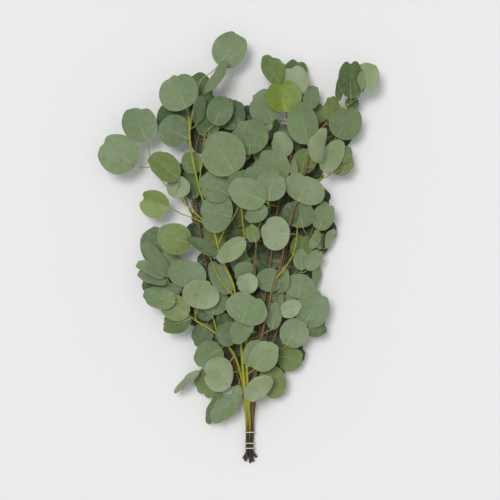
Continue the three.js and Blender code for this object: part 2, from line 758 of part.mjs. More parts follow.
// Places one leaf: it starts near its twig's height and is lifted clear of the branches under it.
function placeLeaf(drawn, lines, rise, before, now) {
  const leaf = settled(drawn, now);
  const face = bladeFace(leaf);
  const back = new THREE.Vector3(
    leaf.x - 9 * Math.cos(leaf.heading),
    leaf.y - 9 * Math.sin(leaf.heading),
    0,
  );
  const root = nearest(lines, back).place;
  const mandatory = before.liftFor(face.points, face.triangles, BRANCH_GAP);
  const tidy = now.liftFor(face.points, face.triangles, LEAF_GAP);
  const natural = root.z + rise;
  const lifted = Math.max(natural, Math.min(tidy, natural + LEAF_GAP_MOST));
  const lift = Math.max(lifted, mandatory) + BLADE_THICK / 2;
  for (const p of face.points) p.z += lift;
  const base = new THREE.Vector3(leaf.x, leaf.y, lift);
  const middle = base.clone().lerp(root, 0.5);
  const clear = before.highest(middle.x, middle.y, STALK_REACH) + BRANCH_GAP;
  const stalk = middle.z < clear ? [base, middle.setZ(clear), root] : [base, root];
  now.lay(face.points, face.triangles);
  for (let i = 0; i + 1 < stalk.length; i++) now.layTube(stalk[i], stalk[i + 1], BLADE_THICK);
  return leafSolid(leaf, face, stalk);
}

// One branch: its lower leaves, its stem and twigs, and its upper leaves, fused where they grow together.
function buildBranch(branch, field, shown) {
  const draw = drawsFrom(branch.seed);
  const before = field.copy();
  const stem = stemRoute(branch, before);
  const lines = [stem];
  for (const points of branch.twigs) lines.push(twigRoute(points, lines, branch.levels[1], before));
  const solids = lines.map((line, i) =>
    solid(
      i === 0
        ? taperedTube(line, BUTT_RADIUS, TIP_RADIUS, STEM_SIDES)
        : taperedTube(line, TWIG_RADIUS, TIP_RADIUS * 0.8, TWIG_SIDES),
    ),
  );
  const rows = [...hiddenRows(branch, lines, draw, shown), ...branch.under];
  const upLines = lines.map((line) => line.filter((p) => p.y > TIE_ABOVE_Y - 1));
  for (const row of branch.rest ?? [])
    solids.push(placeLeaf({ ...leafFrom(row, draw), fold: 0, curl: 0 }, upLines, UNDER_DROP, before, field));
  for (const row of rows) solids.push(placeLeaf(leafFrom(row, draw), upLines, UNDER_DROP, before, field));
  for (const line of lines)
    for (let i = 0; i + 1 < line.length; i++) field.layTube(line[i], line[i + 1], BUTT_RADIUS);
  for (const row of branch.over) solids.push(placeLeaf(leafFrom(row, draw), upLines, OVER_RISE, before, field));
  return solids.reduce((whole, piece) => whole.add(piece));
}

// The outline round the packed stems, as a smooth closed way: x across and z up.
function aroundBundle(turn) {
  const wide = SLOT_WIDE + BUTT_RADIUS + 0.45 + STRAND_RADIUS;
  const high = SLOT_HIGH + BUTT_RADIUS + 0.45 + STRAND_RADIUS;
  const [c, s] = [Math.cos(turn), Math.sin(turn)];
  const square = 5.5;
  const reach = (Math.abs(c) ** square + Math.abs(s) ** square) ** (-1 / square);
  return [BUNDLE_X + wide * reach * c, BUNDLE_LOW + SLOT_HIGH + high * reach * s];
}

// The strand: one turn high, a slanted crossing underneath, and two turns low, its ends tucked under.
class TieRoute extends THREE.Curve {
  getPoint(share, target = new THREE.Vector3()) {
    const turns = 3.16;
    const turn = share * turns;
    const [x, z] = aroundBundle(-Math.PI * 0.5 - 0.25 + 2 * Math.PI * turn);
    const first = THREE.MathUtils.smoothstep(turn, 0.9, 1.12);
    const second = THREE.MathUtils.smoothstep(turn, 1.9, 2.12);
    const y = TIE_TOP_Y + (TIE_MIDDLE_Y - TIE_TOP_Y) * first + (TIE_LOW_Y - TIE_MIDDLE_Y) * second;
    return target.set(x, y, z);
  }
}

function tieGeometry() {
  const section = new THREE.Shape();
  section.absarc(0, 0, STRAND_RADIUS, 0, 2 * Math.PI, false);
  const route = new TieRoute();
  return new THREE.ExtrudeGeometry(section, { steps: 44, curveSegments: 3, bevelEnabled: false, extrudePath: route });
}

// The tone that most of a branch's leaves have.
function commonTone(branch) {
  const counts = {};
  for (const row of [...branch.under, ...branch.over]) counts[row[5]] = (counts[row[5]] ?? 0) + 1;
  return Object.keys(counts).reduce((a, b) => (counts[b] > counts[a] ? b : a));
}

const group = new THREE.Group();
const shown = shownCells();
const field = new HeapField();
for (const branch of BRANCHES) {
  const mesh = new THREE.Mesh(
    geometryOf(buildBranch(branch, field, shown)),
    new THREE.MeshStandardMaterial({ color: TONES[commonTone(branch)], roughness: 0.7, metalness: 0 }),
  );
  mesh.name = branch.name;
  group.add(mesh);
}

const tie = new THREE.Mesh(
  geometryOf(solid(tieGeometry())),
  new THREE.MeshStandardMaterial({ color: STRAND_COLOUR, roughness: 0.8, metalness: 0 }),
);
tie.name = "tie";
group.add(tie);

export default group;
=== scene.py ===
"""A tied bunch of silver-dollar eucalyptus, dressed: blades, stalks, bark and the strand, on a pale table.

Lengths in the plans are millimetres in the frame of the solids, +Z up and +Y from the cut ends to the tips.
"""

import logging
import math
from collections.abc import Callable, Iterator, Sequence
from dataclasses import dataclass, field, replace
from enum import Enum

import bpy
import numpy as np
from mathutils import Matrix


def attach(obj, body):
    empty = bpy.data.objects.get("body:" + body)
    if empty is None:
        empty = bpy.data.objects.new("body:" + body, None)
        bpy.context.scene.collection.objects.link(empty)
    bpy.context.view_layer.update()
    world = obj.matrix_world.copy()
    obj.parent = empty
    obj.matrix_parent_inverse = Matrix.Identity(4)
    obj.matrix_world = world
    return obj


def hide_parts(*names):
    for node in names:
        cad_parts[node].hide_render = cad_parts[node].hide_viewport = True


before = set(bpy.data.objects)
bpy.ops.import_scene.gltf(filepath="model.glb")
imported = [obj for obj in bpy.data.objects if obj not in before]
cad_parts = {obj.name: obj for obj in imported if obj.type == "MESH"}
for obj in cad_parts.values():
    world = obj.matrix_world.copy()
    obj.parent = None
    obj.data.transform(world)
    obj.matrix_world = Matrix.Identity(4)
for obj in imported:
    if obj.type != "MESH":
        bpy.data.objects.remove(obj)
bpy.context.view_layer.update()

LOG = logging.getLogger("eucalyptus")
Socket = bpy.types.NodeSocket
Material = bpy.types.Material
Pair = tuple[float, float]
Ramp = tuple[float, ...]

# A millimetre in metres, and a tenth of a metre in millimetres
MM = 0.001
TENTH = 100

# Below these a path counts as upright, a length as nothing and a triangle as seen edge on
UPRIGHT = 0.05
NOT_NOTHING = 1e-6
EDGE_ON = 1e-9

# Driving sizes of the branches, the same as in the solids
BLADE_THICK = 0.8
PETIOLE_WIDE = 1.5
BUTT_RADIUS = 1.75
TIP_RADIUS = 0.95
TWIG_RADIUS = 1.05
STEM_STEP = 34
TWIG_STEP = 20

# How the branches are laid on each other, the same as in the solids
CELL = 2
FIELD_X = -232
FIELD_Y = -332
COLUMNS = 232
ROWS = 332
BRANCH_GAP = 1.7
LEAF_GAP = 1.0
LEAF_GAP_MOST = 15
STEM_SLOPE = 0.3
FREE_FROM_Y = -214
SAMPLE = 4
EDGE = 1.6
STALK_REACH = 3
UNDER_DROP = -9
OVER_RISE = 3
SETTLE_GAIN = 0.25
SETTLE_TURNS = (
    (0, 0), (9, 0), (-9, 0), (0, 8), (0, -8), (7, 6), (-7, 6), (7, -6), (-7, -6), (16, 0), (-16, 0),
)
TWIG_RISE = 0.6
ROOT_BACK = 9

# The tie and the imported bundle
BUNDLE_X = 15.8
SLOT_WIDE = 4.0
SLOT_HIGH = 3.5
BUNDLE_LOW = 3.65
STRAND_RADIUS = 0.65
TIE_TOP_Y = -258
TIE_MIDDLE_Y = -273.5
TIE_LOW_Y = -280.5
TIE_ABOVE_Y = -251
TIE_BELOW_Y = -286
OPENED_Y = -130

# The laid leaf's coarse outline, the same as in the solids
LARGE_LEAF = 50
LARGE_ROWS = (0.5, 0.98, 1.5, 2.08, 2.66)
SMALL_ROWS = (0.6, 1.22, 1.9, 2.6)
MID_ANGLES = (0.9, 2.15)
NOTCH_ANGLE = 0.34
LOW_WIDE = 0.1

# A leaf's drawn tilt and form: the middle draw or the least value, and then the spread, the same as in the
# solids. Rows up to FLAT_ROW long have a drawn tilt. The bright leaves are folded more, in the scene only.
FLAT_ROW = 6
ROLL_DRAW = (0.5, 26)
PITCH_DRAW = (0.55, 16)
FOLD_DRAW = (0.04, 0.12)
CURL_DRAW = (0.62, 0.16)
NOTCH_DRAW = (0.02, 0.08)
BRIGHT_FOLD = 0.32

# A fine blade's outline waves and dips, in shares of its reach, and its rim's ripples in millimetres
WAVE_COUNTS = (2, 3, 5)
WAVE_SHARE = (0.3, 1.0)
WAVE_SIZES = (0.032, 0.028, 0.013)
DIP_FURTHEST = 0.95
DIP_POWER = 0.8
DIP_DEPTHS = (0.24, 0.13, 0.09)
DIP_WIDE = (0.13, 0.27)
DIP_MOST = 0.3
HEART_DIP = (0.0, 0.27, 0.26)
TIP_MORE = (0.65, 0.35)
RIPPLE_SHARE = (0.2, 1.0)
RIPPLES = (1.0, 0.8, 0.35)

# The hidden leaves, the same as in the solids: their first place as a share of their spacing, how far past
# FREE_FROM_Y they start, how they stand off their twig, and their size
HIDDEN_FIRST = 0.6
HIDDEN_FROM = 30
HIDDEN_TURN = (35, 85)
HIDDEN_SWAY = 30
HIDDEN_REACH = (14, 34)
HIDDEN_LENGTH = (36, 50)
HIDDEN_WIDE = (0.8, 1.05)


class Bark(Enum):
    """The two young barks of the stems."""

    YELLOW = "yellow"
    BROWN = "brown"


class Tone(Enum):
    """The leaves' tones, each with its name in the leaf rows and its shares of lime, pale and deep.

    A share past one is the brightest or the darkest leaf. The deep and dim tones are partly the leaves' own
    darker green and partly painted shade, for leaves that lie in shade under others. The shade tone is
    painted shade: the near-black of the deep gaps, on the hidden leaves and on the leaves that fill the gaps.
    """

    GREY = ("grey", (0.0, 0.0, 0.0))
    PALE = ("pale", (0.0, 0.85, 0.0))
    LIME = ("lime", (1.0, 0.0, 0.0))
    BRIGHT = ("bright", (2.2, 0.0, 0.0))
    # dim and deep: partly darker green, partly painted shade on leaves lying in shade; shade: painted shade
    # of the dark gaps
    DIM = ("dim", (0.0, 0.0, 0.45))
    DEEP = ("deep", (0.0, 0.0, 1.0))
    PAINTED_SHADE = ("shade", (0.0, 0.0, 2.2))

    @property
    def label(self) -> str:
        """The tone's name in the leaf rows."""
        return self.value[0]

    @classmethod
    def shares(cls, label: str) -> np.ndarray:
        """The shares of the tone with that name."""
        return np.array(next(tone.value[1] for tone in cls if tone.label == label))


@dataclass(frozen=True)
class BranchPlan:
    """One branch as read from the photo: its stem, twigs and leaf rows.

    A leaf's row holds where its blade starts, its heading, length, width and tone, and then its roll and
    pitch where its tilt is given. rest holds leaves that are flat and laid first. hidden is the drawn leaves'
    spacing, the most of them and the least share that has to be covered. The lines of a bold branch lie on
    its own lower leaves too, and girth thickens its stem's upper part.
    """

    name: str
    seed: int
    slot: Sequence[float]
    butt: Sequence[float]
    levels: Sequence[float]
    stem: Sequence[Sequence[float]]
    twigs: Sequence[Sequence[Sequence[float]]]
    under: Sequence[Sequence]
    over: Sequence[Sequence]
    hidden: Sequence[float]
    rest: Sequence[Sequence] = ()
    bark: Bark = Bark.BROWN
    twig_bark: Bark | None = None
    bold: bool = False
    girth: float = 1.0


# The branches, from the lowest in the heap to the highest
# A leaf's tone "deep" or "dim" is partly its darker green and partly painted shade, for leaves lying in shade
# under others
BRANCHES = (
    BranchPlan(
        name="branch_under_left",
        seed=11,
        slot=[-1, 0],
        butt=[6.7, -296, 3.2],
        levels=[9, 9],
        stem=[
            [9.5, -222], [2, -192], [-9, -150], [-26, -95], [-43, -35], [-55, 30], [-62, 95], [-58, 150],
            [-44, 196],
        ],
        twigs=[
            [[-55, 30], [-72, 62], [-80, 92]],
            [[-26, -95], [-52, -78], [-78, -60]],
        ],
        rest=[[-28, -8, 20, 46, 42, "deep", 0, 0]],
        under=[
            [-4, 14, 172, 50, 32, "lime"],
            [-38, -60, 65, 44, 32, "deep"],
        ],
        over=[],
        hidden=[27, 16, 0.8],
    ),
    BranchPlan(
        name="branch_under_right",
        seed=12,
        slot=[1, 0],
        butt=[25.2, -294, 2.6],
        levels=[9, 9],
        stem=[
            [22, -222], [27, -192], [34, -150], [45, -95], [60, -35], [74, 30], [84, 90], [98, 140],
            [116, 178],
        ],
        twigs=[
            [[60, -35], [44, 0], [34, 34]],
            [[74, 30], [54, 62], [40, 100]],
        ],
        under=[
            [16, -34, 135, 34, 28, "deep"],
            [46, -50, 95, 34, 28, "deep"],
            [60, 44, 120, 32, 28, "deep"],
        ],
        over=[],
        hidden=[27, 15, 0.8],
    ),
    BranchPlan(
        name="branch_top_centre",
        seed=13,
        slot=[0, 0],
        butt=[16.4, -302, 2.2],
        levels=[14, 22],
        stem=[
            [17.5, -222], [20, -190], [25, -150], [33, -95], [43, -30], [52, 35], [60, 90], [69, 120],
            [80, 143], [76, 162], [68, 178], [65, 195], [62, 214], [60, 226],
        ],
        twigs=[
            [[68, 178], [57, 180], [49, 178]],
            [[69, 120], [56, 128], [44, 140], [38, 152]],
            [[65, 195], [78, 200], [90, 204]],
        ],
        under=[
            [66, 144, 85, 34, 30, "deep"],
            [74, 228, 75, 42, 36, "deep"],
            [42, 154, 62, 32, 26, "deep", 56, 0],
            [100, 182, 35, 32, 28, "lime"],
        ],
        over=[
            [38, 70, 95, 44, 44, "grey"],
            [42, 92, 150, 40, 36, "dim"],
            [60, 116, 158, 46, 38, "lime"],
            [66, 128, 110, 38, 34, "pale"],
            [42, 164, 110, 24, 18, "grey"],
            [48, 178, 118, 50, 46, "grey"],
            [90, 200, 60, 32, 26, "grey"],
            [98, 196, 75, 34, 26, "grey", 30, 0],
            [64, 236, 108, 28, 20, "lime"],
            [70, 214, 70, 46, 42, "pale", 0, -3],
            [57, 230, 115, 46, 38, "lime", 34, 0],
            [65, 191, 98, 46, 50, "bright", 9, 4],
        ],
        hidden=[34, 0, 0.86],
    ),
    BranchPlan(
        name="branch_left_low",
        bold=True,
        girth=1.25,
        bark=Bark.YELLOW,
        seed=14,
        slot=[-0.5, 1],
        butt=[9, -299, 6.6],
        levels=[13, 20],
        stem=[
            [10.5, -227], [7, -205], [3.7, -178], [0, -163], [-4.5, -150], [-15, -137], [-30, -120],
            [-45, -108], [-59, -100], [-75, -90], [-88, -73], [-96, -58], [-100, -40],
        ],
        twigs=[
            [[-59, -100], [-62, -78], [-66, -56], [-80, -42]],
            [[-4.5, -150], [-16, -163], [-26, -178], [-30, -192]],
            [[-30, -120], [-33, -104], [-38, -92]],
        ],
        under=[
            [-98, -30, 117, 70, 46, "deep"],
            [-84, -32, 135, 38, 32, "lime"],
            [-93, -66, 155, 48, 34, "deep", 32, 0],
            [-45, -105, 250, 38, 30, "deep"],
            [-14, -124, 110, 38, 28, "deep"],
            [-36, -96, 140, 28, 26, "deep"],
            [-20, -178, 205, 46, 44, "lime"],
            [-24, -202, 246, 51, 20, "deep", 40, 0],
        ],
        over=[
            [-80, -56, 178, 30, 22, "grey", 46, 0],
            [-100, -48, 160, 46, 30, "pale", 58, 0],
            [-102, -38, 155, 46, 30, "pale", 52, 5],
            [-94, -38, 128, 64, 34, "pale", 54, 5],
            [-70, -92, 150, 44, 36, "lime"],
            [-88, -74, 163, 48, 32, "grey", 18, 0],
            [-66, -97, 195, 44, 32, "deep", 20, 0],
            [-36, -92, 80, 40, 38, "grey"],
            [-75, -54, 80, 42, 54, "grey"],
            [-57, -83, 76, 43, 52, "pale"],
            [-24, -138, 212, 44, 40, "grey"],
            [-55, -170, 222, 48, 22, "pale", 62, 0],
            [-2, -205, 225, 52, 30, "grey", 20, 0],
            [0, -190, 262, 28, 16, "grey"],
            [-7, -172, 185, 44, 50, "pale"],
        ],
        hidden=[34, 0, 0.86],
    ),
    BranchPlan(
        name="branch_right_low",
        seed=15,
        slot=[0.5, 1],
        butt=[20.6, -300, 6.2],
        levels=[14, 20],
        stem=[
            [19.5, -223], [26, -205], [35, -172], [44, -142], [53, -117], [62, -97], [66, -70],
            [66, -47], [73, -37], [82, -28], [92, -8], [99, 12], [105, 34],
        ],
        twigs=[
            [[62, -97], [76, -92], [90, -84]],
            [[92, -8], [106, -6], [116, 0]],
        ],
        under=[
            [92, -112, 10, 34, 30, "deep"],
            [60, -84, 75, 38, 34, "lime"],
            [56, -150, -8, 36, 38, "lime"],
            [108, -52, 86, 46, 24, "grey", 60, 0],
        ],
        over=[
            [42, -164, -75, 48, 38, "lime"],
            [84, -14, 75, 38, 32, "lime"],
            [112, 0, 80, 24, 18, "grey", 46, 0],
            [102, 0, 75, 30, 22, "pale", 52, 0],
            [122, 1, 62, 33, 22, "pale", 56, 0],
            [112, 26, 72, 44, 32, "grey", 20, 0],
            [90, 30, 100, 40, 43, "grey"],
            [88, -30, 95, 32, 24, "pale", 25, 0],
            [96, -29, 55, 34, 26, "pale", 35, 0],
            [84, -69, 85, 36, 42, "grey"],
            [91, -107, 62, 56, 46, "grey"],
            [58, -90, 25, 34, 24, "pale"],
            [66, -134, 55, 44, 40, "grey"],
        ],
        hidden=[34, 0, 0.86],
    ),
    BranchPlan(
        name="branch_right_high",
        twig_bark=Bark.YELLOW,
        bold=True,
        girth=1.15,
        seed=16,
        slot=[1, 2],
        butt=[23.4, -291, 11.4],
        levels=[20, 34],
        stem=[
            [18.5, -228], [18, -208], [23, -180], [28, -150], [32, -125], [36, -97], [42, -80],
            [46, -60], [51, -41], [58, -24], [62, -5], [66, 18], [72, 42], [81, 64], [86, 88], [93, 110],
            [99, 134], [106, 154], [119, 170], [128, 188], [138, 208],
        ],
        twigs=[
            [[51, -41], [66, -24], [75, -10], [80, 8], [82, 34]],
            [[99, 134], [112, 136], [126, 142]],
            [[86, 88], [104, 94], [122, 100], [140, 110]],
            [[128, 188], [144, 196], [160, 206]],
        ],
        under=[
            [58, -62, 85, 40, 26, "grey"],
            [60, -44, 178, 36, 34, "grey"],
            [48, -112, 88, 40, 22, "grey"],
            [72, 34, 88, 34, 22, "deep"],
            [88, 106, 80, 36, 34, "lime"],
            [130, 112, 20, 34, 30, "lime"],
            [150, 200, 20, 20, 20, "deep"],
            [146, 120, 75, 26, 20, "grey", 30, 0],
        ],
        over=[
            [78, 100, 92, 26, 16, "pale", 45, 0],
            [66, 96, 140, 54, 48, "grey"],
            [82, 66, 62, 42, 58, "grey"],
            [118, 107, 62, 52, 34, "pale", 26, 0],
            [96, 146, 105, 62, 48, "grey", -30, 0],
            [108, 119, 80, 52, 34, "pale", -48, 5],
            [132, 176, 95, 38, 26, "lime", 20, 0],
            [139, 205, 84, 40, 18, "lime", 50, 0],
            [171, 218, 74, 45, 40, "pale"],
            [156, 209, 88, 54, 42, "deep", 28, 0],
            [171, 221, 92, 27, 15, "pale", 45, 0],
            [136, 156, 55, 49, 49, "grey"],
            [71, 21, 178, 41, 48, "pale"],
        ],
        hidden=[44, 0, 0.86],
    ),
    BranchPlan(
        name="branch_left_high",
        bold=True,
        girth=1.35,
        bark=Bark.YELLOW,
        seed=17,
        slot=[-1, 2],
        butt=[12.4, -293, 10.6],
        levels=[22, 36],
        stem=[
            [12, -228], [9.5, -205], [6.7, -170], [4.5, -144], [1, -108], [-3.6, -65], [-9.7, -43],
            [-20, -24], [-28, 6], [-36, 28], [-46, 60], [-55, 86], [-61, 112], [-66, 138], [-68, 162],
            [-69, 184],
        ],
        twigs=[
            [[-68, 162], [-64, 190], [-56, 222], [-50, 240], [-38, 246]],
            [[-28, 6], [-18, 28], [-6, 46], [2, 64]],
            [[-36, 28], [-58, 48], [-82, 70], [-104, 92], [-118, 110], [-124, 130]],
            [[-55, 86], [-52, 116], [-49, 142], [-46, 162]],
            [[-3.6, -65], [-22, -48], [-34, -24], [-44, -4], [-58, 4]],
            [[-36, 28], [-58, 41], [-80, 49]],
        ],
        under=[
            [-52, 203, 100, 46, 40, "deep"],
            [-76, 163, 125, 50, 52, "deep"],
            [-70, 153, 150, 48, 45, "dim"],
            [-22, 170, 60, 46, 42, "deep"],
            [-43, 180, 95, 40, 36, "deep"],
            [-40, 157, 100, 36, 34, "deep"],
            [-62, 70, 105, 42, 26, "deep"],
            [-60, 106, 108, 34, 30, "lime"],
            [-12, -62, 118, 54, 30, "grey"],
        ],
        over=[
            [-58, 175, 80, 40, 32, "grey", 58, 5],
            [-79, 71, 107, 33, 32, "pale"],
            [-84, 97, 140, 52, 44, "lime", 34, 5],
            [-97, 58, 163, 44, 40, "bright", -16, 0],
            [-143, 116, 145, 60, 56, "grey"],
            [-127, 149, 113, 55, 48, "grey"],
            [-66, 8, 165, 50, 44, "lime"],
            [-28, -9, 149, 53, 26, "grey", 52, 0],
            [-34, 173, 65, 45, 37, "grey"],
            [-72, 194, 114, 54, 58, "grey"],
            [-27, 256, 56, 54, 47, "grey"],
            [-45, 218, 57, 54, 30, "grey", -56, 8],
            [-9, 44, 165, 46, 56, "grey"],
            [-12, 74, 150, 50, 42, "grey"],
        ],
        hidden=[40, 0, 0.86],
    ),
    BranchPlan(
        name="branch_centre",
        bark=Bark.YELLOW,
        twig_bark=Bark.BROWN,
        seed=18,
        slot=[0, 2],
        butt=[17.2, -297, 10.9],
        levels=[26, 42],
        stem=[
            [14.5, -228], [13, -195], [11, -150], [12, -110], [13, -60], [11, -20], [8, 20], [4, 60],
            [1, 96], [8, 120], [15, 134],
        ],
        twigs=[
            [[13, -60], [22, -20], [26, 12], [30, 36], [42, 58]],
        ],
        under=[
            [0, -122, 165, 34, 34, "deep"],
            [16, -14, 205, 30, 28, "deep", 0, 4],
            [24, -34, 172, 34, 28, "grey"],
        ],
        over=[
            [16, 131, 93, 52, 56, "dim"],
            [24, 81, 150, 44, 36, "dim"],
            [34, 80, 118, 40, 38, "dim"],
            [42, 66, 84, 45, 43, "grey"],
            [-6, 105, 120, 64, 62, "grey"],
            [24, 10, 110, 26, 20, "lime"],
            [40, 56, 205, 36, 26, "grey", -30, 0],
            [37, 65, 155, 56, 43, "grey", 3, 0],
            [9, 14, 221, 50, 27, "pale"],
            [27, -51, 167, 31, 28, "pale"],
            [19, -113, 158, 40, 50, "grey", 0, -38],
            [5, -103, 70, 45, 60, "grey", -15, 0],
            [13, -163, 70, 42, 26, "grey"],
            [22, -167, 54, 50, 38, "pale"],
            [36, -204, 128, 30, 46, "pale"],
        ],
        hidden=[40, 0, 0.86],
    ),
)


def draws_from(seed: int) -> Callable[[], float]:
    """Repeatable draws between 0 and 1.

    Args:
        seed: A whole number.

    Returns:
        A function that gives the next draw.
    """
    state = seed & 0xFFFFFFFF

    def draw() -> float:
        """The next draw of the 32-bit mixing sequence."""
        nonlocal state
        state = (state + 0x6D2B79F5) & 0xFFFFFFFF
        t = state
        t = ((t ^ (t >> 15)) * (t | 1)) & 0xFFFFFFFF
        t ^= (t + (((t ^ (t >> 7)) * (t | 61)) & 0xFFFFFFFF)) & 0xFFFFFFFF
        return ((t ^ (t >> 14)) & 0xFFFFFFFF) / 4294967296

    return draw


def smoothstep(x: float, low: float, high: float) -> float:
    """0 below low, 1 above high and the usual cubic between them."""
    t = min(1.0, max(0.0, (x - low) / (high - low)))
    return t * t * (3 - 2 * t)


def between(ends: Sequence | np.ndarray, share: float | np.ndarray) -> float | np.ndarray:
    """The value at a share of the way between two ends."""
    return ends[0] + (ends[1] - ends[0]) * share


def way_along(points: np.ndarray) -> np.ndarray:
    """How far along its line each point lies."""
    return np.concatenate([[0.0], np.cumsum(np.linalg.norm(np.diff(points, axis=0), axis=1))])


def cell_middles(rows: np.ndarray, columns: np.ndarray) -> tuple[np.ndarray, np.ndarray]:
    """Where the middles of the heap's cells lie along X and along Y."""
    return FIELD_X + (columns + 0.5) * CELL, FIELD_Y + (rows + 0.5) * CELL


def lines_above(lines: list[np.ndarray], y: float) -> list[np.ndarray]:
    """The lines' points past a place along the bunch."""
    return [line[line[:, 1] > y] for line in lines]


class SmoothPath:
    """A smooth way through points: a centripetal Catmull-Rom curve, measured in 200 chords."""

    CHORDS = 200
    HEADING_STEP = 1e-4

    def __init__(self, points: np.ndarray) -> None:
        """Keeps the points and measures the way along them.

        Args:
            points: The points passed through, one row each.
        """
        self.points = np.asarray(points, float)
        at = self.at(np.linspace(0, 1, self.CHORDS + 1))
        self.along = way_along(at)

    @property
    def length(self) -> float:
        """The whole length of the way."""
        return float(self.along[-1])

    def at(self, shares: np.ndarray) -> np.ndarray:
        """Points at shares of the parameter.

        Each stretch is the cubic whose end slopes are the three-point slopes weighted by the square roots of
        the distances between neighbours; the end points are mirrored to give the first and last neighbour.

        Args:
            shares: Parameters between 0 and 1.

        Returns:
            One point for each share.
        """
        points = self.points
        padded = np.vstack([2 * points[0] - points[1], points, 2 * points[-1] - points[-2]])
        place = np.asarray(shares, float) * (len(points) - 1)
        index = np.minimum(np.floor(place).astype(int), len(points) - 2)
        weight = (place - index)[:, None]
        p0, p1, p2, p3 = (padded[index + k] for k in range(4))
        gaps = ((p0, p1), (p1, p2), (p2, p3))
        d0, d1, d2 = (np.sqrt(np.linalg.norm(b - a, axis=1))[:, None] for a, b in gaps)
        s1 = ((p1 - p0) / d0 - (p2 - p0) / (d0 + d1) + (p2 - p1) / d1) * d1
        s2 = ((p2 - p1) / d1 - (p3 - p1) / (d1 + d2) + (p3 - p2) / d2) * d1
        c2 = -3 * p1 + 3 * p2 - 2 * s1 - s2
        c3 = 2 * p1 - 2 * p2 + s1 + s2
        return p1 + s1 * weight + c2 * weight**2 + c3 * weight**3

    def spaced(self, count: int) -> np.ndarray:
        """count + 1 points evenly spaced along the way."""
        return self.at(self.parameter(np.linspace(0, 1, count + 1)))

    def parameter(self, shares: np.ndarray) -> np.ndarray:
        """The parameters at shares of the length."""
        wanted = np.asarray(shares, float) * self.length
        return np.interp(wanted, self.along, np.linspace(0, 1, self.CHORDS + 1))

    def heading(self, share: float) -> float:
        """The heading seen from above at a share of the length."""
        middle = float(self.parameter(np.array([share]))[0])
        ends = self.at(np.array([max(0.0, middle - self.HEADING_STEP), min(1.0, middle + self.HEADING_STEP)]))
        step = ends[1] - ends[0]
        return math.atan2(step[1], step[0])


def evenly(points: np.ndarray, step: float) -> np.ndarray:
    """Points about a step apart on a smooth way through the given ones."""
    path = SmoothPath(points)
    return path.spaced(max(2, math.floor(path.length / step + 0.5)))


class HeapField:
    """The heap's height over the table, cell by cell, as the branches are laid on it."""

    def __init__(self, height: np.ndarray | None = None) -> None:
        """Starts bare, or from a copy of another field's heights."""
        self.height = np.zeros((ROWS, COLUMNS)) if height is None else height.copy()

    @staticmethod
    def cells(corners: np.ndarray) -> tuple[np.ndarray, np.ndarray, np.ndarray, np.ndarray] | None:
        """The cells that a triangle covers, with its least and greatest heights there.

        A cell counts where its centre is inside the triangle widened by EDGE. The height is the triangle's
        plane at the centre, less and more half a cell of slope, kept between the corners' heights.

        Args:
            corners: The triangle's three corners.

        Returns:
            Rows, columns, low and high, or None for a triangle seen edge on.
        """
        a, b, c = corners
        turn = (b[0] - a[0]) * (c[1] - a[1]) - (b[1] - a[1]) * (c[0] - a[0])
        if abs(turn) < EDGE_ON:
            return None
        slope_x = ((b[2] - a[2]) * (c[1] - a[1]) - (c[2] - a[2]) * (b[1] - a[1])) / turn
        slope_y = ((c[2] - a[2]) * (b[0] - a[0]) - (b[2] - a[2]) * (c[0] - a[0])) / turn
        spread = (abs(slope_x) + abs(slope_y)) * CELL / 2
        least, most = corners[:, 2].min(), corners[:, 2].max()
        low = corners[:, :2].min(0) - EDGE - (FIELD_X, FIELD_Y)
        high = corners[:, :2].max(0) + EDGE - (FIELD_X, FIELD_Y)
        columns = np.arange(math.floor(low[0] / CELL), math.floor(high[0] / CELL) + 1)
        rows = np.arange(math.floor(low[1] / CELL), math.floor(high[1] / CELL) + 1)
        x, y = cell_middles(rows[:, None], columns[None, :])
        inside = np.ones((len(rows), len(columns)), bool)
        ordered = (a, b, c) if turn > 0 else (a, c, b)
        for p, q in zip(ordered, (ordered[1], ordered[2], ordered[0])):
            long = math.hypot(q[0] - p[0], q[1] - p[1])
            inside &= ((q[0] - p[0]) * (y - p[1]) - (q[1] - p[1]) * (x - p[0])) / long > -EDGE
        r, k = np.nonzero(inside)
        z = a[2] + slope_x * (x[0, k] - a[0]) + slope_y * (y[r, 0] - a[1])
        return rows[r], columns[k], np.clip(z - spread, least, most), np.clip(z + spread, least, most)

    @classmethod
    def covered(cls, points: np.ndarray, triangles: np.ndarray) -> Iterator[tuple[np.ndarray, ...]]:
        """The cells of each triangle that isn't seen edge on."""
        for triangle in triangles:
            found = cls.cells(points[triangle])
            if found is not None:
                yield found

    def lift_for(self, points: np.ndarray, triangles: np.ndarray, gap: float) -> float:
        """The lift that brings the triangles clear of the heap by a gap."""
        lift = -math.inf
        for rows, columns, low, _ in self.covered(points, triangles):
            under = self.height[rows, columns]
            floor = np.where(under > 0, under + gap, 0)
            lift = max(lift, float((floor - low).max(initial=-math.inf)))
        return lift

    def lay(self, points: np.ndarray, triangles: np.ndarray) -> None:
        """Raises the heap to hold the triangles."""
        for rows, columns, _, high in self.covered(points, triangles):
            self.height[rows, columns] = np.maximum(self.height[rows, columns], high)

    def window(self, x: float, y: float, reach: float) -> np.ndarray:
        """The cells within reach of a point, as a view."""
        columns = [math.floor((x + side - FIELD_X) / CELL) for side in (-reach, reach)]
        rows = [math.floor((y + side - FIELD_Y) / CELL) for side in (-reach, reach)]
        return self.height[rows[0]:rows[1] + 1, columns[0]:columns[1] + 1]

    def highest(self, x: float, y: float, reach: float) -> float:
        """The highest of the heap within reach of a point."""
        return float(self.window(x, y, reach).max())

    def lay_tube(self, start: np.ndarray, end: np.ndarray, radius: float) -> None:
        """Raises the heap to hold a round stretch between two points."""
        steps = max(1, math.ceil(math.hypot(end[0] - start[0], end[1] - start[1]) / CELL))
        for i in range(steps + 1):
            p = start + (end - start) * (i / steps)
            view = self.window(p[0], p[1], radius + EDGE)
            np.maximum(view, p[2] + radius, out=view)


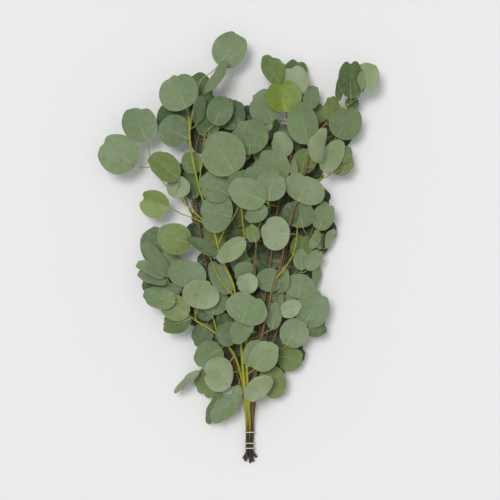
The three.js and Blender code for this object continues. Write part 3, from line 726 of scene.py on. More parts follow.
@dataclass(frozen=True)
class Leaf:
    """One leaf's place, tilt and form, in millimetres and radians."""

    x: float
    y: float
    heading: float
    length: float
    width: float
    tone: str
    roll: float
    pitch: float
    free: bool
    fold: float
    curl: float
    notch: float
    lift: float = 0.0
    stalk: tuple = ()
    order: int = 0
    lean: tuple[float, float, float] = (0.0, 0.0, 0.0)

    @classmethod
    def from_row(cls, row: Sequence, draw: Callable[[], float]) -> "Leaf":
        """A leaf from its table row, with its drawn roll, pitch, fold, curl and notch filled in.

        Args:
            row: The leaf's row in a branch plan.
            draw: The branch's draws; five are taken.

        Returns:
            The leaf, not yet lifted.
        """
        drawn = [draw() for _ in range(5)]
        steep = len(row) > FLAT_ROW
        extra_fold = BRIGHT_FOLD if row[5] == Tone.BRIGHT.label else 0.0
        return cls(
            x=row[0],
            y=row[1],
            heading=math.radians(row[2]),
            length=row[3],
            width=row[4],
            tone=row[5],
            roll=math.radians(row[6] if steep else (drawn[0] - ROLL_DRAW[0]) * ROLL_DRAW[1]),
            pitch=math.radians(row[7] if steep else (drawn[1] - PITCH_DRAW[0]) * PITCH_DRAW[1]),
            free=not steep,
            fold=FOLD_DRAW[0] + FOLD_DRAW[1] * drawn[2] + extra_fold,
            curl=(drawn[3] - CURL_DRAW[0]) * CURL_DRAW[1],
            notch=NOTCH_DRAW[0] + NOTCH_DRAW[1] * drawn[4],
        )

    def axes(self) -> tuple[np.ndarray, np.ndarray, np.ndarray]:
        """The leaf's own directions: along the midrib, across it, and out of its face."""
        along = np.array([
            math.cos(self.heading) * math.cos(self.pitch),
            math.sin(self.heading) * math.cos(self.pitch),
            math.sin(self.pitch),
        ])
        level = np.array([-math.sin(self.heading), math.cos(self.heading), 0.0])
        out = np.cross(along, level)
        across = level * math.cos(self.roll) + out * math.sin(self.roll)
        return along, across, np.cross(along, across)

    def middle(self) -> Pair:
        """The blade's middle seen from above."""
        half = self.length / 2 * math.cos(self.pitch)
        return self.x + half * math.cos(self.heading), self.y + half * math.sin(self.heading)

    def leaned(self, points: np.ndarray) -> np.ndarray:
        """Points with the leaf's lean added: a lift, and a rise along X and along Y from its middle."""
        lift, rise_x, rise_y = self.lean
        x, y = self.middle()
        moved = np.array(points, float)
        moved[..., 2] += lift + rise_x * (moved[..., 0] - x) + rise_y * (moved[..., 1] - y)
        return moved

    def across(self, angle: np.ndarray, share: np.ndarray | float = 1.0) -> np.ndarray:
        """A share of the half width, times the sine of the outline angle, a little wider low down."""
        return share * self.width * np.sin(angle) * (1 + LOW_WIDE * np.cos(angle)) / 2

    def out_of_flat(self, along: np.ndarray, side: np.ndarray) -> np.ndarray:
        """The height over the blade's flat: the fold times the distance from the midrib, plus the curl.

        The curl is four times the share along the midrib less its square, so it is nothing at both ends.
        """
        return self.fold * side + self.curl * self.length * 4 * (along - along * along)

    def flat_place(self, angle: np.ndarray, share: np.ndarray) -> tuple[np.ndarray, np.ndarray]:
        """Where a point of the blade lies on its own midrib and across it.

        Along the midrib it is half the length times one less the cosine of the outline angle, drawn back near
        the tip by the notch. Across it is the share of the half width there.

        Args:
            angle: The angle along the outline, 0 at the stalk and pi at the tip.
            share: The share of the half width, from -1 to 1.

        Returns:
            The distances along and across.
        """
        notch = self.notch * np.exp(-(((math.pi - angle) / NOTCH_ANGLE) ** 2))
        u = self.length * ((1 - np.cos(angle)) / 2 - notch)
        return u, self.across(angle, share)

    def coarse(self) -> tuple[np.ndarray, np.ndarray]:
        """The blade's coarse face as it is laid: its points, lifted, and its triangles."""
        along, across, out = self.axes()
        rows = LARGE_ROWS if self.length >= LARGE_LEAF else SMALL_ROWS
        angle = np.array([a for a in rows for _ in (0, 1)] + [math.pi, *MID_ANGLES])
        share = np.array([1.0, -1.0] * len(rows) + [0.0, 0.0, 0.0])
        u, v = self.flat_place(angle, share)
        w = self.out_of_flat(u / self.length, np.abs(v))
        base = np.array([self.x, self.y, self.lift])
        face = base + u[:, None] * along + v[:, None] * across + w[:, None] * out
        ends = base + np.array([[0.5], [-0.5]]) * PETIOLE_WIDE * across
        return np.vstack([ends, face]), coarse_triangles(len(rows))


def coarse_triangles(rows: int) -> np.ndarray:
    """The triangles of a coarse blade: the stalk's two points, rows of left and right, tip and midrib."""
    tip = 2 + 2 * rows
    left = [2 + 2 * k for k in range(rows)]
    right = [3 + 2 * k for k in range(rows)]
    mid = [tip + (1 if k < rows / 2 - 0.5 else 2) for k in range(rows)]
    made = [(1, right[0], mid[0]), (1, mid[0], 0), (0, mid[0], left[0])]
    for k in range(rows - 1):
        made += [(right[k], right[k + 1], mid[k]), (mid[k], left[k + 1], left[k])]
        if mid[k] != mid[k + 1]:
            made += [(mid[k], right[k + 1], mid[k + 1]), (mid[k], mid[k + 1], left[k + 1])]
    made += [(mid[-1], right[-1], tip), (mid[-1], tip, left[-1])]
    return np.array(made)


@dataclass
class LaidBranch:
    """A branch laid on the heap: its stem and twig lines, its drawn leaves and its lifted leaves."""

    plan: BranchPlan
    lines: list[np.ndarray]
    rest: list[Leaf]
    low: list[Leaf]
    high: list[Leaf]
    leaves: list[Leaf] = field(default_factory=list)


class Heap:
    """Lays the branches on each other from the lowest up, by the same rule as the solids.

    They are laid twice. The first time shows the gaps; the second time has dark leaves under them, in the
    shade tone, which paints the deep shade of the gaps.
    """

    def __init__(self, plans: Sequence[BranchPlan]) -> None:
        """Keeps the plans and finds the cells that the shown leaves cover.

        Args:
            plans: The branches from the lowest to the highest.
        """
        self.plans = plans
        self.field = HeapField()
        self.shown = np.zeros((ROWS, COLUMNS), bool)
        for plan in plans:
            for row in (*plan.under, *plan.over):
                self.mark(self.shown, Leaf.from_row(row, lambda: 0.5))

    @staticmethod
    def mark(cells: np.ndarray, leaf: Leaf) -> None:
        """Marks the cells that a leaf covers."""
        for rows, columns, _, _ in HeapField.covered(*leaf.coarse()):
            cells[rows, columns] = True

    def laid(self) -> list[LaidBranch]:
        """All the branches, laid, with the gaps filled from below."""
        first = [self.lay_branch(plan, None, ()) for plan in self.plans]
        fill = GapFill().leaves(first, self.field)
        self.field = HeapField()
        return [self.lay_branch(branch.plan, branch, fill[branch.plan.name]) for branch in first]

    def raised(self, points: np.ndarray, radius: float, before: HeapField) -> np.ndarray:
        """Lifts a line's points, except the first, clear of the heap.

        Each point needs the height of the heap near both of its stretches; a point beside a raised one falls
        away from it by no more than STEM_SLOPE.

        Args:
            points: The line's points.
            radius: The line's radius.
            before: The heap under the branch.

        Returns:
            The points with their new heights.
        """
        need = points[:, 2].copy()
        for i in range(len(points) - 1):
            start, end = points[i], points[i + 1]
            steps = max(1, math.ceil(float(np.linalg.norm(end - start)) / SAMPLE))
            for k in range(steps + 1):
                p = start + (end - start) * (k / steps)
                if p[1] < FREE_FROM_Y:
                    continue
                least = before.highest(p[0], p[1], radius + EDGE) + BRANCH_GAP + radius
                need[i] = max(need[i], least)
                need[i + 1] = max(need[i + 1], least)
        along = way_along(points)
        made = points.copy()
        fall = STEM_SLOPE * np.abs(along[:, None] - along[None, :])
        made[1:, 2] = (need[None, :] - fall).max(1)[1:]
        return made

    def stem_line(self, plan: BranchPlan, before: HeapField) -> np.ndarray:
        """A stem from its cut end, straight through the tie, and then up to its branch's level."""
        slot_x = BUNDLE_X + plan.slot[0] * SLOT_WIDE
        slot_z = BUNDLE_LOW + plan.slot[1] * SLOT_HIGH
        level, tip = plan.levels
        points = [(slot_x, TIE_ABOVE_Y, slot_z)]
        for i, (x, y) in enumerate(plan.stem):
            share = i / (len(plan.stem) - 1)
            opened = smoothstep(y, TIE_ABOVE_Y, OPENED_Y)
            points.append((x, y, slot_z + (level - BUNDLE_LOW) * opened + (tip - level) * share * share))
        upper = self.raised(evenly(np.array(points, float), STEM_STEP), BUTT_RADIUS, before)
        return np.vstack([plan.butt, (slot_x, TIE_BELOW_Y, slot_z), upper])

    def twig_line(
        self, plan: BranchPlan, points: Sequence, lines: list[np.ndarray], before: HeapField
    ) -> np.ndarray:
        """A twig from its place on the branch's nearest line, rising towards the branch's level."""
        start = nearest(lines, points[0][0], points[0][1])
        rise = plan.levels[1] - start[2]
        shares = [i / (len(points) - 1) for i in range(len(points))]
        flat = [(x, y, start[2] + rise * share * TWIG_RISE) for share, (x, y) in zip(shares, points)]
        flat[0] = tuple(start)
        return self.raised(evenly(np.array(flat, float), TWIG_STEP), TWIG_RADIUS, before)

    def hidden_rows(self, plan: BranchPlan, lines: list[np.ndarray], draw: Callable[[], float]) -> list[list]:
        """A branch's drawn leaves, at both sides of its lines in turn, kept where shown leaves cover them, in
        the shade tone, which is painted shade.
        """
        spacing, most, least = plan.hidden
        rows: list[list] = []
        for line in lines:
            path = SmoothPath(line)
            side = 1
            s = spacing * HIDDEN_FIRST
            while s < path.length:
                x, y, _ = path.at(path.parameter(np.array([s / path.length])))[0]
                way = path.heading(s / path.length)
                side = -side
                a, b, c, d, e = (draw() for _ in range(5))
                s += spacing
                if y < FREE_FROM_Y + HIDDEN_FROM or len(rows) >= most:
                    continue
                heading = way + side * math.radians(between(HIDDEN_TURN, a))
                reach = between(HIDDEN_REACH, b)
                length = between(HIDDEN_LENGTH, c)
                # The hidden leaf takes the shade tone: painted shade of the dark gaps under the shown leaves
                row = [
                    x + reach * math.cos(heading),
                    y + reach * math.sin(heading),
                    math.degrees(heading) + HIDDEN_SWAY * (d - 0.5),
                    length,
                    length * between(HIDDEN_WIDE, e),
                    Tone.PAINTED_SHADE.label,
                ]
                found = HeapField.covered(*Leaf.from_row(row, lambda: 0.5).coarse())
                covered = np.concatenate([self.shown[cells[0], cells[1]] for cells in found])
                if covered.sum() >= least * len(covered):
                    rows.append(row)
        return rows

    def settled(self, leaf: Leaf) -> Leaf:
        """A leaf turned a little, where its tilt is free, to the tilt that lies lowest on the heap."""
        if not leaf.free:
            return leaf
        best, chosen = math.inf, leaf
        for roll, pitch in SETTLE_TURNS:
            roll, pitch = leaf.roll + math.radians(roll), leaf.pitch + math.radians(pitch)
            turned = replace(leaf, roll=roll, pitch=pitch)
            lift = self.field.lift_for(*turned.coarse(), LEAF_GAP)
            if lift < best - SETTLE_GAIN:
                best, chosen = lift, turned
        return chosen

    def place(self, drawn: Leaf, lines: list[np.ndarray], rise: float, before: HeapField) -> Leaf:
        """Places one leaf near its twig's height, lifted clear of the branches under it.

        Args:
            drawn: The leaf with its drawn tilt.
            lines: The branch's lines above the tie.
            rise: How far the leaf lies above its twig, or below it.
            before: The heap under the branch.

        Returns:
            The leaf with its tilt, lift and stalk.
        """
        leaf = self.settled(drawn)
        back_x, back_y = ROOT_BACK * math.cos(leaf.heading), ROOT_BACK * math.sin(leaf.heading)
        root = nearest(lines, leaf.x - back_x, leaf.y - back_y)
        points, triangles = leaf.coarse()
        mandatory = before.lift_for(points, triangles, BRANCH_GAP)
        tidy = self.field.lift_for(points, triangles, LEAF_GAP)
        natural = root[2] + rise
        lift = max(natural, min(tidy, natural + LEAF_GAP_MOST), mandatory) + BLADE_THICK / 2
        base = np.array([leaf.x, leaf.y, lift])
        middle = (base + root) / 2
        clear = before.highest(middle[0], middle[1], STALK_REACH) + BRANCH_GAP
        stalk = [base, root]
        if middle[2] < clear:
            stalk = [base, np.array([middle[0], middle[1], clear]), root]
        leaf = replace(leaf, lift=lift, stalk=tuple(stalk))
        self.field.lay(leaf.coarse()[0], triangles)
        for start, end in zip(stalk, stalk[1:]):
            self.field.lay_tube(start, end, BLADE_THICK)
        return leaf

    def lines(self, plan: BranchPlan, under: HeapField) -> list[np.ndarray]:
        """The branch's stem and twigs, clear of what is under them."""
        lines = [self.stem_line(plan, under)]
        for points in plan.twigs:
            lines.append(self.twig_line(plan, points, lines, under))
        return lines

    def lay_branch(self, plan: BranchPlan, drawn: LaidBranch | None, fill: Sequence[Leaf]) -> LaidBranch:
        """Lays one branch: its lower leaves, its stem and twigs, and its upper leaves, clear of both.

        Args:
            plan: The branch.
            drawn: The branch as laid before, whose drawn leaves are laid again, or None to draw them.
            fill: Dark leaves to lay under the others, painted shade for the gaps.

        Returns:
            The laid branch.
        """
        before = HeapField(self.field.height)
        lines = self.lines(plan, before)
        if drawn is None:
            draw = draws_from(plan.seed)
            hidden = self.hidden_rows(plan, lines, draw)
            rest = [replace(Leaf.from_row(row, draw), fold=0.0, curl=0.0) for row in plan.rest]
            low = [Leaf.from_row(row, draw) for row in (*hidden, *plan.under)]
            high = [Leaf.from_row(row, draw) for row in plan.over]
            drawn = LaidBranch(plan, lines, rest, low, high)
        branch = replace(drawn, lines=lines, leaves=[])
        above_tie = lines_above(lines, TIE_ABOVE_Y - 1)
        for leaf in (*drawn.rest, *fill, *drawn.low):
            branch.leaves.append(self.place(leaf, above_tie, UNDER_DROP, before))
        if plan.bold:
            branch.lines = self.lines(plan, self.field)
            above_tie = lines_above(branch.lines, TIE_ABOVE_Y - 1)
        for line in branch.lines:
            for start, end in zip(line, line[1:]):
                self.field.lay_tube(start, end, BUTT_RADIUS)
                before.lay_tube(start, end, BUTT_RADIUS)
        for leaf in drawn.high:
            branch.leaves.append(self.place(leaf, above_tie, OVER_RISE, before))
        low_count = len(branch.leaves) - len(drawn.high)
        for i, leaf in enumerate(branch.leaves):
            root = nearest(branch.lines, leaf.stalk[-1][0], leaf.stalk[-1][1])
            branch.leaves[i] = replace(leaf, stalk=(*leaf.stalk[:-1], root), order=1 if i >= low_count else 0)
        LOG.info("laid %s: %d leaves, heap %.0f mm", plan.name, len(branch.leaves), self.field.height.max())
        return branch


@dataclass(frozen=True)
class GapFill:
    """Dark leaves on the table where the laid leaves leave gaps inside the bunch's outline; their shade tone
    is painted shade, the near-black of deep gaps.

    A gap is a bare cell that the covered cells close round within a reach. A leaf is kept where nearly all of
    it lies in the closed outline, and grows on one of the lowest branches. Circles that are open down to the
    table stay open.
    """

    close_mm: float = 12.0
    inner_mm: float = 8.0
    start_mm: float = 20.0
    near_mm: float = 10.0
    inside: float = 0.97
    length_mm: Pair = (24.0, 40.0)
    width_share: Pair = (0.8, 1.0)
    turn: float = 1.2
    roll_deg: float = 9.0
    pitch_deg: float = 5.0
    fold: Pair = (0.04, 0.12)
    curl: Pair = (-0.05, 0.03)
    notch: Pair = (0.015, 0.07)
    lowest: int = 3
    patience: int = 2
    tries: int = 1400
    seed: int = 71
    open_circles: tuple[tuple[float, float, float], ...] = (
        (-85, 52, 22),
        (-68, -6, 8),
        (-85, 136, 13),
        (-122, 140, 16),
        (-112, 88, 13),
        (-20, 221, 11),
        (-98, 138, 16),
        (-70, 146, 6),
        (-118, 43, 9),
        (55, 187, 9),
        (147, 211, 8),
        (110, 235, 22),
        (10, 235, 28),
        (135, 108, 14),
    )

    def spread(self, cells: np.ndarray, reach_mm: float) -> np.ndarray:
        """The cells within reach of the marked ones."""
        steps = int(reach_mm / CELL)
        made = cells.copy()
        for row in range(-steps, steps + 1):
            wide = int(math.sqrt(steps**2 - row**2))
            for column in range(-wide, wide + 1):
                made |= np.roll(cells, (row, column), (0, 1))
        return made

    def leaves(self, branches: list[LaidBranch], heap: HeapField) -> dict[str, list[Leaf]]:
        """The leaves for each branch.

        Args:
            branches: The branches as first laid.
            heap: Their heap.

        Returns:
            Leaves by the name of the branch that they grow on.
        """
        covered = heap.height > 0
        closed = ~self.spread(~self.spread(covered, self.close_mm), self.close_mm)
        x, y = cell_middles(*np.indices(covered.shape))
        for open_x, open_y, radius in self.open_circles:
            closed &= np.hypot(x - open_x, y - open_y) > radius
        closed &= y > FREE_FROM_Y + self.start_mm
        inner = ~self.spread(~closed, self.inner_mm)
        leafy = np.zeros(covered.shape, bool)
        for leaf in (leaf for branch in branches for leaf in branch.leaves):
            Heap.mark(leafy, leaf)
        gap = (closed & ~covered) | (inner & self.spread(~leafy, CELL))
        allowed = self.spread(closed, CELL)
        draw = np.random.default_rng(self.seed)
        lines = [(branch, lines_above(branch.lines, FREE_FROM_Y)) for branch in branches[:self.lowest]]
        made: dict[str, list[Leaf]] = {branch.plan.name: [] for branch in branches}
        failed = np.zeros(covered.shape, int)
        for _ in range(self.tries):
            spots = np.nonzero(gap)
            if not len(spots[0]):
                break
            spot = int(draw.integers(len(spots[0])))
            near = np.hypot(x[gap] - x[spots][spot], y[gap] - y[spots][spot]) < self.near_mm
            centre = np.array([x[gap][near].mean(), y[gap][near].mean()])
            roots = [nearest([line for line in own if len(line) > 1], *centre) for _, own in lines]
            closest = min(range(len(roots)), key=lambda i: math.hypot(*(roots[i][:2] - centre)))
            branch = lines[closest][0]
            leaf = self.leaf(centre, roots[closest], draw)
            cells = np.zeros_like(covered)
            Heap.mark(cells, leaf)
            if allowed[cells].sum() < self.inside * cells.sum():
                failed[spots[0][spot], spots[1][spot]] += 1
                gap &= failed < self.patience
                continue
            made[branch.plan.name].append(leaf)
            gap &= ~cells
        LOG.info("filled gaps with %d leaves", sum(len(leaves) for leaves in made.values()))
        return made

    def leaf(self, centre: np.ndarray, root: np.ndarray, draw: np.random.Generator) -> Leaf:
        """One dark leaf, in the shade tone: painted shade.

        Args:
            centre: Where its blade's middle lies.
            root: The nearest place on a stem, which it points away from.
            draw: The draws for its size, tilt and form.

        Returns:
            The leaf, not yet lifted.
        """
        length = draw.uniform(*self.length_mm)
        heading = math.atan2(centre[1] - root[1], centre[0] - root[0]) + draw.uniform(-self.turn, self.turn)
        return Leaf(
            x=centre[0] - length / 2 * math.cos(heading),
            y=centre[1] - length / 2 * math.sin(heading),
            heading=heading,
            length=length,
            width=length * draw.uniform(*self.width_share),
            # painted shade: the gap leaf's tone stands in for the deep shade in the gaps
            tone=Tone.PAINTED_SHADE.label,
            roll=math.radians(draw.uniform(-self.roll_deg, self.roll_deg)),
            pitch=math.radians(draw.uniform(-self.pitch_deg, self.pitch_deg)),
            free=True,
            fold=draw.uniform(*self.fold),
            curl=draw.uniform(*self.curl),
            notch=draw.uniform(*self.notch),
        )


@dataclass(frozen=True)
class Settling:
    """Leans and lifts the laid blades a little, so that few cut through another or through a stem."""

    reach: float = 0.62
    table_gap: float = 0.8
    cut_below: float = 0.2
    least_pushed: int = 8
    most_deep: int = 14
    gap: float = 0.9
    stem_gap: float = 2.6
    stem_clear: float = 2.4
    stem_far: float = 8.0
    stem_weight: float = 3.0
    top_most: float = 82.0
    rounds: int = 80
    gain: float = 0.35
    lift_most: float = 8.0
    rise_most: float = 0.2
    steep: float = 0.35
    turned_over: float = -3.0

    def cells(self, leaf: Leaf) -> tuple[np.ndarray, np.ndarray]:
        """The cells under a blade and its height at each.

        The place along and across is solved from the plan of the leaf's two directions, once flat and once
        with the height's sideways part taken off.

        Args:
            leaf: The laid leaf.

        Returns:
            Cell rows and columns as one array of two rows, and heights.
        """
        along, across, out = leaf.axes()
        plan = np.array([[along[0], across[0]], [along[1], across[1]]])
        if abs(np.linalg.det(plan)) < self.steep:
            return np.zeros((2, 0), int), np.zeros(0)
        reach = leaf.length * self.reach
        column, row = (
            np.arange(int((middle - reach - start) / CELL), int((middle + reach - start) / CELL) + 1)
            for middle, start in zip(leaf.middle(), (FIELD_X, FIELD_Y))
        )
        rows, columns = (grid.ravel() for grid in np.meshgrid(row, column, indexing="ij"))
        x, y = cell_middles(rows, columns)
        x, y = x - leaf.x, y - leaf.y
        back = np.linalg.inv(plan)
        w = np.zeros(len(x))
        for _ in range(2):
            u, v = back @ np.stack([x - w * out[0], y - w * out[1]])
            t = np.clip(u / leaf.length, 0, 1)
            w = leaf.out_of_flat(t, np.abs(v))
        inside = (u > 0) & (u < leaf.length) & (np.abs(v) < leaf.across(np.arccos(1 - 2 * t)))
        z = leaf.lift + u * along[2] + v * across[2] + w * out[2]
        return np.stack([rows[inside], columns[inside]]), z[inside]

    def settle(self, branches: list[LaidBranch]) -> None:
        """Finds and sets each leaf's lean.

        In each cell the blades that meet are pushed apart where the upper one is less than the gap above the
        lower; the pushes on a leaf give its lift from their mean and its rise from their moment. Stems push
        the blades and stay. At the end a blade that a stem under it still cuts is lifted clear of it.

        Args:
            branches: The laid branches, changed in place.
        """
        leaves = [leaf for branch in branches for leaf in branch.leaves]
        count = len(leaves)
        found = [self.cells(leaf) for leaf in leaves]
        which = np.concatenate([np.full(len(z), i) for i, (_, z) in enumerate(found)])
        rows, columns = np.concatenate([cells for cells, _ in found], axis=1)
        z = np.concatenate([z for _, z in found])
        middle = np.array([leaf.middle() for leaf in leaves])
        x, y = cell_middles(rows, columns)
        x, y = x - middle[which, 0], y - middle[which, 1]
        key = rows * COLUMNS + columns
        first, second = self.pairs(key)
        upper_second = self.upper(which, z, first, second)
        low = np.where(upper_second, first, second)
        high = np.where(upper_second, second, first)
        stem_at, stem_z, stem_up = self.stem_contacts(branches, key, which)
        moment_x = np.bincount(which, x * x, count) + 1
        moment_y = np.bincount(which, y * y, count) + 1
        lean = np.zeros((3, count))

        def heights() -> np.ndarray:
            """The samples' heights with their leaves leaned as found so far."""
            return z + lean[0, which] + lean[1, which] * x + lean[2, which] * y

        for _ in range(self.rounds):
            now = heights()
            push = np.zeros(len(z))
            short = np.maximum(0, self.gap - (now[high] - now[low])) / 2
            np.add.at(push, high, short)
            np.add.at(push, low, -short)
            off = np.maximum(0, self.stem_gap - (now[stem_at] - stem_z) * stem_up) * stem_up
            np.add.at(push, stem_at, off * self.stem_weight)
            push += np.maximum(0, self.table_gap - now)
            pushed = np.maximum(np.bincount(which, push != 0, count), self.least_pushed)
            for i, (pull, weight) in enumerate(((push, pushed), (push * x, moment_x), (push * y, moment_y))):
                lean[i] += self.gain * np.bincount(which, pull, count) / weight
            lean[0] = np.clip(lean[0], -self.lift_most, self.lift_most)
            lean[1:] = np.clip(lean[1:], -self.rise_most, self.rise_most)
        now = heights()
        off = np.maximum(0, self.stem_clear - (now[stem_at] - stem_z) * stem_up)
        off[off > self.stem_far] = 0
        rise, top = np.zeros(count), np.zeros(count)
        np.maximum.at(rise, which[stem_at], np.where(stem_up > 0, off, 0))
        np.maximum.at(top, which, now)
        lean[0] += np.minimum(rise, np.maximum(0, self.top_most - top))
        now = heights()
        cut = np.maximum(0, self.cut_below - (now[high] - now[low]))
        LOG.info("settled %d leaves: %d of %d pairs in a cell cut", count, int((cut > 0).sum()), len(low))
        place = 0
        for branch in branches:
            for i, leaf in enumerate(branch.leaves):
                branch.leaves[i] = replace(leaf, lean=tuple(float(v) for v in lean[:, place]))
                place += 1

    def pairs(self, key: np.ndarray) -> tuple[np.ndarray, np.ndarray]:
        """All pairs of samples in the same cell, the earlier one first."""
        order = np.argsort(key, kind="stable")
        sorted_key = key[order]
        firsts, seconds = [], []
        for step in range(1, self.most_deep):
            same = sorted_key[step:] == sorted_key[:-step]
            firsts.append(order[:-step][same])
            seconds.append(order[step:][same])
        return np.concatenate(firsts), np.concatenate(seconds)

    def upper(self, which: np.ndarray, z: np.ndarray, first: np.ndarray, second: np.ndarray) -> np.ndarray:
        """Whether each pair's second blade, laid later, goes above: not where it is far below on average."""
        pair = which[first] * (which.max() + 1) + which[second]
        _, place = np.unique(pair, return_inverse=True)
        mean = np.bincount(place, z[second] - z[first]) / np.bincount(place)
        return (mean > self.turned_over)[place]

    @staticmethod
    def stem_contacts(
        branches: list[LaidBranch], key: np.ndarray, which: np.ndarray
    ) -> tuple[np.ndarray, np.ndarray, np.ndarray]:
        """Where blades cross stems: the sample, the stem's height, and 1 for over it or -1 for under it."""
        owner = np.array([i for i, branch in enumerate(branches) for _ in branch.leaves])
        high = np.array([leaf.order for branch in branches for leaf in branch.leaves])
        at, heights, ups = [], [], []
        for i, branch in enumerate(branches):
            for line in branch.lines:
                path = SmoothPath(line)
                points = path.spaced(max(2, int(path.length / CELL)))
                points = points[points[:, 1] > FREE_FROM_Y]
                if not len(points):
                    continue
                column = ((points[:, 0] - FIELD_X) / CELL).astype(int)
                row = ((points[:, 1] - FIELD_Y) / CELL).astype(int)
                keys, place = np.unique(row * COLUMNS + column, return_index=True)
                spot = np.minimum(np.searchsorted(keys, key), len(keys) - 1)
                hit = np.nonzero(keys[spot] == key)[0]
                at.append(hit)
                heights.append(points[place[spot[hit]], 2])
                above = (owner[which[hit]] > i) | ((owner[which[hit]] == i) & (high[which[hit]] == 1))
                ups.append(np.where(above, 1, -1))
        return np.concatenate(at), np.concatenate(heights), np.concatenate(ups)


def nearest(lines: list[np.ndarray], x: float, y: float) -> np.ndarray:
    """The place on the lines nearest to a point, seen from above."""
    best, place = math.inf, lines[0][0]
    for line in lines:
        for a, b in zip(line, line[1:]):
            step = b[:2] - a[:2]
            share = ((x - a[0]) * step[0] + (y - a[1]) * step[1]) / float(step @ step)
            found = a + (b - a) * min(1.0, max(0.0, share))
            far = math.hypot(found[0] - x, found[1] - y)
            if far < best:
                best, place = far, found
    return place


class MeshPile:
    """Points and faces of one piece, gathered from its parts, with a look and a surface place for each."""

    def __init__(self) -> None:
        """Starts empty."""
        self.points: list[np.ndarray] = []
        self.quads: list[np.ndarray] = []
        self.looks: list[np.ndarray] = []
        self.blades: list[np.ndarray] = []
        self.places: list[np.ndarray] = []
        self.count = 0

    def add(
        self,
        points: np.ndarray,
        quads: np.ndarray,
        look: np.ndarray,
        place: np.ndarray,
        blade: np.ndarray | None = None,
    ) -> None:
        """Adds one closed part.

        Args:
            points: Its points in millimetres.
            quads: Its faces; a triangle repeats its last corner.
            look: A row of three for the finish, or one row for each point.
            place: Each point's place on the surface, in tenths of a metre.
            blade: Each point's share along and out in its blade, and the blade's draw.
        """
        self.points.append(points)
        self.quads.append(quads + self.count)
        self.looks.append(np.broadcast_to(look, (len(points), 3)))
        self.blades.append(np.zeros((len(points), 3)) if blade is None else blade)
        self.places.append(place)
        self.count += len(points)

    def piece(self, name: str, finish: Material, crease: float) -> bpy.types.Object:
        """Makes the piece.

        Args:
            name: The piece's name.
            finish: Its material.
            crease: The angle in degrees past which an edge is sharp.

        Returns:
            The object, at the origin.
        """
        points = np.vstack(self.points) * MM
        quads = np.vstack(self.quads)
        faces = [face[:3] if face[3] == face[2] else face for face in quads.tolist()]
        mesh = bpy.data.meshes.new(name)
        mesh.from_pydata(points, [], faces)
        for label, rows in (("look", self.looks), ("blade", self.blades)):
            layer = mesh.attributes.new(label, "FLOAT_VECTOR", "POINT")
            layer.data.foreach_set("vector", np.vstack(rows).astype(np.float32).ravel())
        layer = mesh.uv_layers.new(name="surface")
        corners = np.zeros(len(mesh.loops), np.int32)
        mesh.loops.foreach_get("vertex_index", corners)
        layer.data.foreach_set("uv", np.vstack(self.places)[corners].astype(np.float32).ravel())
        mesh.polygons.foreach_set("use_smooth", np.ones(len(mesh.polygons), bool))
        mesh.set_sharp_from_angle(angle=math.radians(crease))
        mesh.materials.append(finish)
        mesh.validate()
        piece = bpy.data.objects.new(name, mesh)
        bpy.context.scene.collection.objects.link(piece)
        LOG.info("%s: %d points, %d faces", name, len(mesh.vertices), len(mesh.polygons))
        return piece


def ring_quads(rings: int, size: int) -> np.ndarray:
    """The faces between rings of points that follow each other, each ring closed on itself."""
    ring, side = np.meshgrid(np.arange(rings - 1), np.arange(size), indexing="ij")
    here = ring * size + side
    beside = ring * size + (side + 1) % size
    return np.stack([here, beside, beside + size, here + size], -1).reshape(-1, 4)


def tube(
    path: np.ndarray,
    radius: np.ndarray,
    sides: int,
    ribs: int = 0,
    rib_deep: float = 0.0,
    rib_turn: float = 0.0,
) -> tuple[np.ndarray, np.ndarray, np.ndarray]:
    """A round rod along a path, closed at both ends.

    Each ring is the path's point plus the radius times the cosine and sine of the turn, on the two directions
    square to the path; ribs wave the radius round the ring and wind along it.

    Args:
        path: The centre line.
        radius: The radius at each point.
        sides: Points in each ring.
        ribs: Waves round a ring.
        rib_deep: The waves' share of the radius.
        rib_turn: How far the waves turn for each millimetre along.

    Returns:
        Points, faces, and each point's place round and along the rod.
    """
    along = np.gradient(path, axis=0)
    along /= np.linalg.norm(along, axis=1)[:, None]
    across = np.cross(along, (0.0, 0.0, 1.0))
    flat = np.linalg.norm(across, axis=1)[:, None]
    across = np.where(flat > UPRIGHT, across / np.maximum(flat, NOT_NOTHING), (1.0, 0.0, 0.0))
    up = np.cross(across, along)
    length = way_along(path)
    turn = np.arange(sides) * 2 * math.pi / sides
    wave = 1 + rib_deep * np.cos(ribs * turn[None, :] + rib_turn * length[:, None])
    reach = radius[:, None] * wave
    rings = (
        path[:, None, :]
        + (reach * np.cos(turn))[:, :, None] * across[:, None, :]
        + (reach * np.sin(turn))[:, :, None] * up[:, None, :]
    )
    count = len(path)
    points = np.vstack([rings.reshape(-1, 3), path[0], path[-1]])
    first = np.arange(sides)
    follow = (first + 1) % sides
    last = (count - 1) * sides
    ends = ((follow, first, len(points) - 2), (last + first, last + follow, len(points) - 1))
    caps = [np.stack([one, other, np.full(sides, end), np.full(sides, end)], -1) for one, other, end in ends]
    place = np.stack(np.broadcast_arrays(turn, length[:, None]), -1)
    places = np.vstack([place.reshape(-1, 2), (0, 0), (0, length[-1])])
    return points, np.vstack([ring_quads(count, sides), *caps]), places


